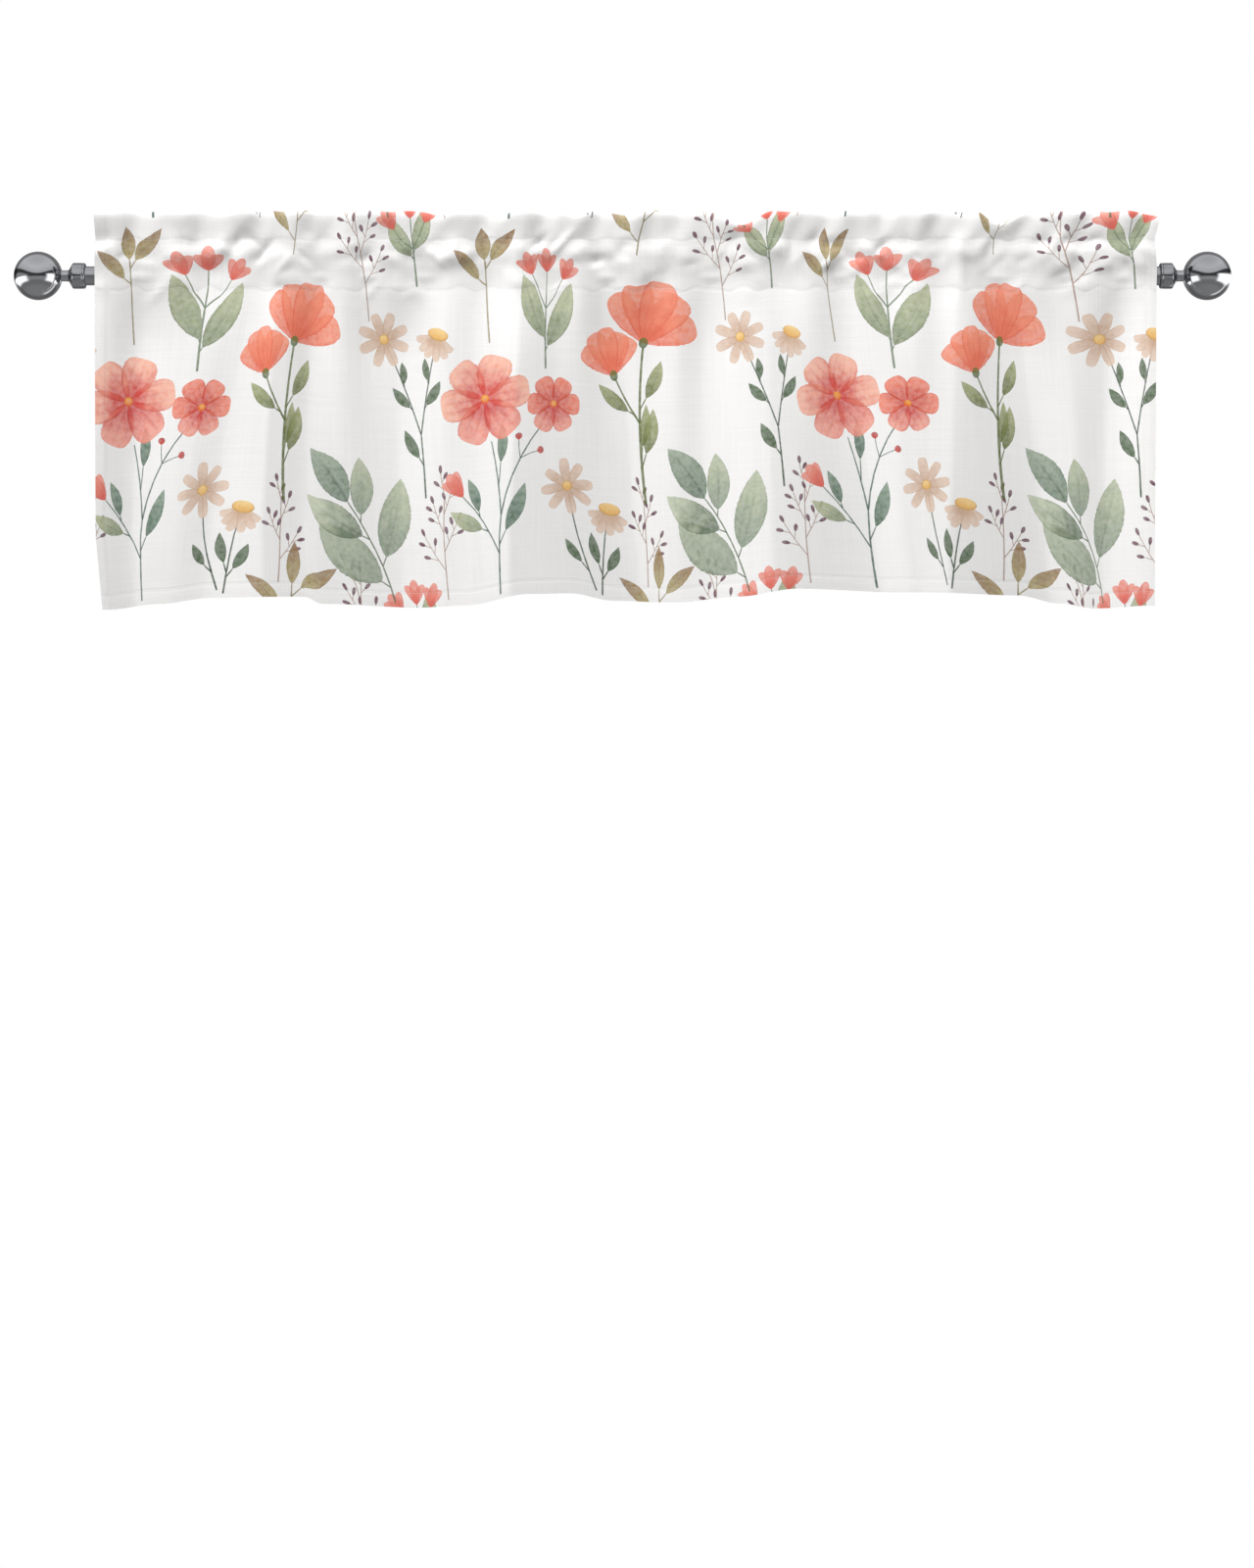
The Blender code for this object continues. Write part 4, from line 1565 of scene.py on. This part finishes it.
    def pocket_row(self, at: ColumnLines, zone: Zone, share: float) -> tuple[np.ndarray, np.ndarray]:
        """Depth and height of a row of the pocket, kept clear of the rod."""
        in_front = zone is Zone.FRONT_POCKET
        down = share if in_front else 1 - share
        depth, height = self.around(self.front_bends if in_front else self.back_bends, down)
        z = height + at.wave * (1 - down) ** 2 + self.lower_wave * at.wave * down**4
        low = max(0.0, 2 * down - 1)
        y = depth + at.carried + (at.seam_y - at.carried) * low * low * (3 - 2 * low)
        rise = self.crease_rise(self.cloth_x(at.column, z), z)
        clear = self.rod_reach(z)
        if in_front:
            back = y - rise - at.puff * math.sin(math.pi * down) - depth
            room = np.maximum(0.05, -depth - clear)
            return depth + np.where(back > 0, room * np.tanh(back / room), back), z
        if down < 0.8:
            return np.maximum(y - rise * max(0.0, 1 - 3 * down) ** 2, clear), z
        return y - rise * low**4, z

    def skirt_row(self, at: ColumnLines, zone: Zone, share: float) -> tuple[np.ndarray, np.ndarray]:
        """Depth and height of a row of the skirt, or of the seam allowance behind its top."""
        inside = zone is Zone.ALLOWANCE
        below = self.allowance * (1 - share) if inside else (self.lower_seam_z - at.hem_z) * share
        z = self.lower_seam_z - below + self.lower_wave * at.wave * np.exp(-below / self.wave_fade)
        y = self.skirt_y(at.column, z) - self.skirt_start + self.skirt_back * self.down_share(z) ** 2
        y = y - self.crease_rise(self.cloth_x(at.column, z), z) + (1.1 * self.layer_gap if inside else 0.0)
        clear = self.rod_reach(z)
        return np.minimum(y, np.where(clear > 0, -clear, np.inf)), z

    def surface(self, column: np.ndarray, plan: list[tuple[Zone, float, float]]) -> np.ndarray:
        """The hanging sheet's middle surface.

        Args:
            column: The grid's columns.
            plan: The grid's rows.

        Returns:
            Points in mm, by row and column.
        """
        at = self.lines(column)
        makers = {
            **dict.fromkeys((Zone.BACK_HEADING, Zone.CREST, Zone.FRONT_HEADING), self.heading_row),
            **dict.fromkeys((Zone.BACK_POCKET, Zone.FRONT_POCKET), self.pocket_row),
            **dict.fromkeys((Zone.ALLOWANCE, Zone.SKIRT), self.skirt_row),
        }
        rows = [makers[zone](at, zone, share) for zone, share, _ in plan]
        return np.array([np.stack([self.cloth_x(column, z), y, z], axis=-1) for y, z in rows])

    def grid(self, points: np.ndarray) -> tuple[bpy.types.Mesh, np.ndarray]:
        """Lays a flat grid and moves its points to the hanging sheet.

        Args:
            points: The surface by row and column, in mm.

        Returns:
            The mesh, and each vertex's row and column.
        """
        rows, columns = points.shape[0] - 1, points.shape[1] - 1
        bm = bmesh.new()
        bmesh.ops.create_grid(bm, x_segments=columns, y_segments=rows, size=0.5)
        spots = np.array([v.co[:2] for v in bm.verts])
        column = np.rint((spots[:, 0] + 0.5) * columns).astype(int)
        row = np.rint((0.5 - spots[:, 1]) * rows).astype(int)
        for vert, place in zip(bm.verts, points[row, column] * MM):
            vert.co = place
        return mesh_of(bm, "valance_cloth"), np.stack([row, column], axis=1)

    def hem_weight(self, plan: list[tuple[Zone, float, float]], across: np.ndarray) -> np.ndarray:
        """How thick the sheet is at each row and column, as a share of the hem's thickness."""
        down = np.array([v for _, _, v in plan])
        low = self.thickness / self.hem_thickness
        bottom = np.clip((down - (self.drop - self.hem_band)) / self.hem_step, 0, 1)[:, None]
        left = np.clip((self.side_band - across) / self.hem_step, 0, 1)[None, :]
        right = np.clip((across - (self.flat_width - self.side_band)) / self.hem_step, 0, 1)[None, :]
        return low + (1 - low) * np.maximum(np.maximum(bottom, left), right)

    def carry_print(
        self, mesh: bpy.types.Mesh, spots: np.ndarray, across: np.ndarray, down: np.ndarray
    ) -> None:
        """Lays the mesh out flat and gives each cell's corners the strokes of the print there.

        Args:
            mesh: The sheet.
            spots: Each vertex's row and column.
            across: The columns' places across the flat cloth in mm.
            down: The rows' places down it.
        """
        strokes = MeadowPrint().over(across, down)
        cells = StrokeCells(strokes, across, down)
        stack = cells.fill()
        LOG.info("%d strokes on the cloth, %d left off full cells", len(strokes), cells.dropped)
        loops = np.zeros(len(mesh.loops), int)
        mesh.loops.foreach_get("vertex_index", loops)
        corner_row, corner_column = spots[loops].T
        cell_row, cell_column = spots[loops].reshape(-1, 4, 2).min(axis=1).T
        codes = np.array([stroke.ink.band for stroke in strokes])
        for layer in range(cells.layers):
            number = np.repeat(stack[layer, cell_row, cell_column], 4)
            bare = number < 0
            drawn = np.where(bare, 0, number)
            along, off = cells.place(drawn, across[corner_column], down[corner_row])
            seed = 0.05 + 0.9 * ((number * 0.618) % 1.0)
            value = np.stack([along, off, codes[drawn] + seed], axis=1)
            value[bare] = (0.0, 0.0, 0.5)
            made = mesh.attributes.new(f"stroke_{layer}", "FLOAT_VECTOR", "CORNER")
            made.data.foreach_set("vector", value.astype(np.float32).ravel())
        place = np.stack([across[corner_column], down[corner_row]], axis=1) * MM
        mesh.uv_layers.new(name="Flat").data.foreach_set("uv", place.astype(np.float32).ravel())

    def build(self) -> bpy.types.Object:
        """Builds the hanging printed cloth.

        Returns:
            The finished piece.
        """
        column, across = self.columns()
        plan = self.row_plan()
        mesh, spots = self.grid(self.surface(column, plan))
        self.carry_print(mesh, spots, across, np.array([down for _, _, down in plan]))
        piece = placed("valance_cloth", mesh)
        mesh.materials.append(ClothFace("printed_cloth_face", 1.0).material(self.kit))
        mesh.materials.append(ClothFace("printed_cloth_back", 0.34, (240, 240, 240)).material(self.kit))
        weights = self.hem_weight(plan, across)[spots[:, 0], spots[:, 1]]
        group = piece.vertex_groups.new(name="hem")
        for level in np.unique(np.round(weights, 2)):
            members = np.nonzero(np.abs(weights - level) < 0.0051)[0]
            group.add([int(m) for m in members], float(level), "REPLACE")
        return self.thicken(piece)

    def thicken(self, piece: bpy.types.Object) -> bpy.types.Object:
        """Gives the sheet its two faces and lays both out, one above the other, on a second map."""
        wall = piece.modifiers.new("thickness", "SOLIDIFY")
        wall.thickness = self.hem_thickness * MM
        wall.offset = 0.0
        wall.vertex_group = "hem"
        wall.thickness_vertex_group = 0.0
        wall.material_offset = 1
        wall.material_offset_rim = 0
        bpy.context.view_layer.update()
        shaped = bpy.data.meshes.new_from_object(piece.evaluated_get(bpy.context.evaluated_depsgraph_get()))
        piece.modifiers.clear()
        piece.vertex_groups.clear()
        piece.data = shaped
        shaped.name = "valance_cloth"
        shaped.shade_smooth()
        shaped.set_sharp_from_angle(angle=math.radians(60))
        faces = len(shaped.polygons)
        back = np.zeros(faces, int)
        shaped.polygons.foreach_get("material_index", back)
        uv = np.zeros(len(shaped.loops) * 2, np.float32)
        shaped.uv_layers["Flat"].data.foreach_get("uv", uv)
        uv = uv.reshape(-1, 2)
        low, high = uv.min(axis=0), uv.max(axis=0)
        share = (uv - low) / (high - low)
        behind = np.repeat(back, 4)[: len(share)]
        # The front takes the upper half of the second map, and the back the lower half
        laid = np.stack([0.004 + 0.992 * share[:, 0], 0.502 + 0.494 * share[:, 1] - 0.498 * behind], axis=1)
        bake = shaped.uv_layers.new(name="OFBake")
        bake.data.foreach_set("uv", laid.astype(np.float32).ravel())
        return piece


# The metal parts


class ProfilePoint(NamedTuple):
    """A point of a turned part's outline, in mm: along the rod and out from its axis."""

    x: float
    radius: float


@dataclass
class TurnedPart:
    """A polished part turned about the rod's axis; its outline is given for the right-hand side."""

    name: str
    node: str
    slot: str
    side: int
    outline: tuple[ProfilePoint, ...]
    closed: bool
    steps: int = 72
    bevel: float = 0.25

    def build(self, finish: bpy.types.Material) -> bpy.types.Object:
        """Spins the outline and puts the piece in place of its plain solid.

        Args:
            finish: The part's material.

        Returns:
            The finished piece.
        """
        bm = bmesh.new()
        verts = [bm.verts.new((self.side * p.x * MM, 0.0, p.radius * MM)) for p in self.outline]
        edges = [bm.edges.new(pair) for pair in zip(verts, verts[1:])]
        if self.closed:
            edges.append(bm.edges.new((verts[-1], verts[0])))
        bmesh.ops.spin(
            bm,
            geom=verts + edges,
            cent=(0, 0, 0),
            axis=(1, 0, 0),
            angle=math.tau,
            steps=self.steps,
            use_merge=True,
        )
        bmesh.ops.remove_doubles(bm, verts=bm.verts, dist=0.002 * MM)
        bmesh.ops.recalc_face_normals(bm, faces=bm.faces)
        sharp = [e for e in bm.edges if len(e.link_faces) == 2 and e.calc_face_angle(0) > math.radians(28)]
        bmesh.ops.bevel(
            bm,
            geom=sharp,
            offset=self.bevel * MM,
            segments=2,
            profile=0.5,
            affect="EDGES",
            material=-1,
            clamp_overlap=True,
        )
        mesh = mesh_of(bm, self.name)
        mesh.shade_smooth()
        mesh.materials.append(finish)
        piece = placed(self.name, mesh)
        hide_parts(self.node)
        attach(piece, "root")
        LOG.info("%s: %d faces", self.name, len(mesh.polygons))
        return piece


@dataclass
class RodEnd:
    """One end of the rod: the cap over it and the ball finial."""

    side: int
    word: str
    cap_inner: float = 621.0
    cap_outer: float = 640.0
    cap_radius: float = 14.9
    neck_radius: float = 6.7
    spigot_radius: float = 4.0
    rod_radius: float = 11.0
    ball_centre: float = 676.0
    ball_radius: float = 28.0
    ball_bands: int = 40
    clearance: float = 0.3

    def cap_outline(self) -> tuple[ProfilePoint, ...]:
        """The cap's closed outline, with a turned groove behind its rim."""
        inner, outer, radius = self.cap_inner, self.cap_outer, self.cap_radius
        bore, pin = self.rod_radius + self.clearance, self.spigot_radius + self.clearance
        return (
            ProfilePoint(inner, bore),
            ProfilePoint(inner, radius - 1.3),
            ProfilePoint(inner + 0.9, radius - 0.2),
            ProfilePoint(inner + 2.4, radius),
            ProfilePoint(inner + 2.7, radius - 0.5),
            ProfilePoint(inner + 3.3, radius - 0.5),
            ProfilePoint(inner + 3.6, radius),
            ProfilePoint(outer - 5.4, radius),
            ProfilePoint(outer - 4.2, radius - 0.5),
            ProfilePoint(outer - 0.4, self.neck_radius + 1.4),
            ProfilePoint(outer, self.neck_radius + 0.6),
            ProfilePoint(outer, pin),
            ProfilePoint(inner + 12.0, pin),
            ProfilePoint(inner + 12.0, bore),
        )

    def finial_outline(self) -> tuple[ProfilePoint, ...]:
        """The finial's outline: its spigot, its waisted neck and its ball."""
        start = self.cap_outer + self.clearance
        points = [
            ProfilePoint(start - 4.0, 0.0),
            ProfilePoint(start - 4.0, self.spigot_radius),
            ProfilePoint(start, self.spigot_radius),
            ProfilePoint(start, self.neck_radius + 0.2),
            ProfilePoint(start + 0.9, self.neck_radius + 0.2),
            ProfilePoint(start + 1.3, self.neck_radius - 0.3),
            ProfilePoint(start + 8.0, self.neck_radius - 0.3),
        ]
        meets = math.asin((self.neck_radius - 0.1) / self.ball_radius)
        for band in range(self.ball_bands + 1):
            turn = meets + (math.pi - meets) * band / self.ball_bands
            radius = self.ball_radius * math.sin(turn) if band < self.ball_bands else 0.0
            points.append(ProfilePoint(self.ball_centre - self.ball_radius * math.cos(turn), radius))
        return tuple(points)

    def build(self, cap_finish: bpy.types.Material, ball_finish: bpy.types.Material) -> None:
        """Builds the cap and the finial."""
        for node, slot, outline, closed, finish in (
            (f"end_cap_{self.word}", "cap_metal", self.cap_outline(), True, cap_finish),
            (f"finial_{self.word}", "finial_metal", self.finial_outline(), False, ball_finish),
        ):
            TurnedPart(f"{node}_turned", node, slot, self.side, outline, closed).build(finish)


@dataclass
class Studio:
    """Camera, soft lights and a pale floor."""

    eye_x: float = 0.0051
    eye_z: float = -0.5875
    distance: float = 5.6
    frame_height: float = 1.813
    floor_z: float = -1.95
    ambient: float = 0.17
    sun_azimuth: float = 38.0
    sun_height: float = 50.0
    sun_strength: float = 3.05
    sun_spread: float = 24.0
    strip_place: tuple[float, float, float] = (0.0, -1.6, 1.8)
    strip_aim: tuple[float, float, float] = (0.0, 0.0, -0.15)
    strip_size: tuple[float, float] = (3.0, 0.4)
    strip_power: float = 33.0
    fill_azimuth: float = 150.0
    fill_height: float = 25.0
    fill_strength: float = 2.0
    pane_light: float = 2.6
    arc_light: float = 1.3
    room: tuple[tuple[float, float], ...] = (
        (-1.0, 0.38), (-0.80, 0.38), (-0.62, 0.31), (-0.42, 0.31), (-0.34, 0.46), (-0.13, 0.48),
        (-0.07, 0.10), (0.10, 0.06), (0.18, 0.78), (0.6, 1.0), (1.0, 0.82),
    )

    def camera(self) -> None:
        """Looks straight at the valance, level, from in front."""
        data = bpy.data.cameras.new("camera")
        data.lens = 36.0 * self.distance / self.frame_height
        data.clip_end = 60.0
        made = placed("camera", data)
        made.location = (self.eye_x, -self.distance, self.eye_z)
        made.rotation_euler = (math.pi / 2, 0.0, 0.0)
        bpy.context.scene.camera = made

    def lamp(self, data: bpy.types.Light, way: Vector) -> bpy.types.Object:
        """Places a light that shines along a way and isn't mirrored in the metal."""
        made = placed(data.name, data)
        made.rotation_euler = way.to_track_quat("-Z", "Y").to_euler()
        made.visible_glossy = False
        return made

    def sun(self, name: str, azimuth: float, height: float, strength: float) -> None:
        """Adds an even, soft light from far off.

        Args:
            name: Its name.
            azimuth: Degrees round from straight in front, to the left.
            height: Degrees up.
            strength: Its strength.
        """
        data = bpy.data.lights.new(name, "SUN")
        data.energy = strength
        data.angle = math.radians(self.sun_spread)
        side, up = math.radians(azimuth), math.radians(height)
        level = math.cos(up)
        self.lamp(data, Vector((math.sin(side) * level, math.cos(side) * level, -math.sin(up))))

    def strip(self) -> None:
        """Adds a long soft light over the valance, whose light falls off towards the hem."""
        data = bpy.data.lights.new("strip", "AREA")
        data.shape = "RECTANGLE"
        data.size, data.size_y = self.strip_size
        data.energy = self.strip_power
        way = Vector(self.strip_aim) - Vector(self.strip_place)
        self.lamp(data, way).location = self.strip_place

    def world(self) -> None:
        """White to the camera, even to the cloth, and a shaded room to the polished metal."""
        made = bpy.data.worlds.new("studio")
        made.use_nodes = True
        bpy.context.scene.world = made
        w = Wiring(made.node_tree)
        background = made.node_tree.nodes["Background"]
        path = w.node("ShaderNodeLightPath")
        side, back, up = w.parts(w.node("ShaderNodeTexCoord").outputs["Generated"])
        # The room's brightness by height
        ramp = w.node("ShaderNodeValToRGB")
        stops = ramp.color_ramp.elements
        for number, (height, grey) in enumerate(self.room):
            stop = stops[number] if number < 2 else stops.new(0.5 + height / 2)
            stop.position = 0.5 + height / 2
            stop.color = (grey, grey, grey * 1.01, 1.0)
        skyline = w.minus(up, w.times(w.times(side, side), 0.28))
        above = w.math("GREATER_THAN", up, 0.0)
        height = w.mix(above, up, skyline)
        w.feed(ramp.inputs[0], w.math("MULTIPLY_ADD", height, 0.5, 0.5))
        rim = w.span(back, 0.30, 0.60, 1.0, w.minus(0.62, w.times(above, 0.30)))
        # The bright panes below the skyline
        beside = w.times(w.span(back, -0.78, -0.50), w.span(back, 0.90, 0.985, 1.0, 0.0))
        lifted = w.minus(up, w.span(back, 0.3, 0.85, 0.0, 0.36))
        right = w.span(side, 0.1, 0.5, 0.0, 0.16)
        level = w.times(w.span(lifted, -0.50, -0.34), w.span(w.minus(up, right), -0.09, 0.01, 1.0, 0.0))
        panes = w.times(beside, level)
        room = w.mix(1.0, ramp.outputs[0], rim, "MULTIPLY")
        room = w.mix(panes, room, (*[self.pane_light] * 3, 1.0))
        # A pale arc low on the right
        wide = w.span(side, 0.12, 0.40)
        arc = w.times(w.span(back, 0.20, 0.28), w.span(back, 0.40, 0.48, 1.0, 0.0))
        arc = w.times(w.times(arc, wide), w.span(up, -0.40, -0.30, 1.0, 0.0))
        room = w.mix(arc, room, (*[self.arc_light] * 3, 1.0))
        seen = w.mix(path.outputs["Is Glossy Ray"], (*[self.ambient] * 3, 1.0), room)
        w.feed(background.inputs["Color"], w.mix(path.outputs["Is Camera Ray"], seen, (1.0, 1.0, 1.0, 1.0)))

    def floor(self) -> None:
        """A plain pale floor well below the valance."""
        bm = bmesh.new()
        bmesh.ops.create_grid(bm, x_segments=1, y_segments=1, size=1.7)
        bmesh.ops.translate(bm, verts=bm.verts, vec=(0.0, 0.0, self.floor_z))
        mesh = mesh_of(bm, "floor")
        made, w, shader = start_material("pale_floor")
        place = w.node("ShaderNodeTexCoord").outputs["Object"]
        colour = w.mix(w.noise(place, 6.0), (0.72, 0.72, 0.71, 1.0), (0.76, 0.76, 0.75, 1.0))
        w.feed(shader.inputs["Base Color"], colour)
        shader.inputs["Roughness"].default_value = 0.8
        mesh.materials.append(made)
        piece = placed("floor", mesh)
        piece.visible_glossy = False
        piece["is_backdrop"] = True

    def build(self) -> None:
        """Sets up everything round the object."""
        bpy.context.scene.view_settings.view_transform = "Standard"
        self.camera()
        self.world()
        self.floor()
        self.sun("main_light", self.sun_azimuth, self.sun_height, self.sun_strength)
        self.sun("fill_light", self.fill_azimuth, self.fill_height, self.fill_strength)
        self.strip()


def main() -> None:
    """Builds the valance, dresses the metal parts and sets up the studio."""
    logging.basicConfig(level=logging.INFO, format="%(name)s: %(message)s")
    kit = ShaderKit()
    cloth = ValanceCloth(kit)
    sheet = cloth.build()
    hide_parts("valance")
    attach(sheet, "root")
    LOG.info("valance_cloth: %d faces", len(sheet.data.polygons))
    ball = DarkChrome("finial_chrome").material(kit)
    cap = DarkChrome("cap_chrome", (164, 165, 168), 0.10).material(kit)
    rod = DarkChrome("rod_chrome", (168, 169, 172), 0.14).material(kit)
    RodEnd(-1, "left").build(cap, ball)
    RodEnd(1, "right").build(cap, ball)
    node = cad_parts["rod"]
    node.data.materials.clear()
    node.data.materials.append(rod)
    LOG.info("rod: dressed")
    Studio().build()


def write_sizes() -> None:
    """Works out the solid model's box and the dressed model's box."""
    boxes = {"cad": CAD_BOX, "visual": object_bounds()}
    plain = {name: [list(low), list(high)] for name, (low, high) in boxes.items()}


if __name__ == "__main__":
    main()
    write_sizes()
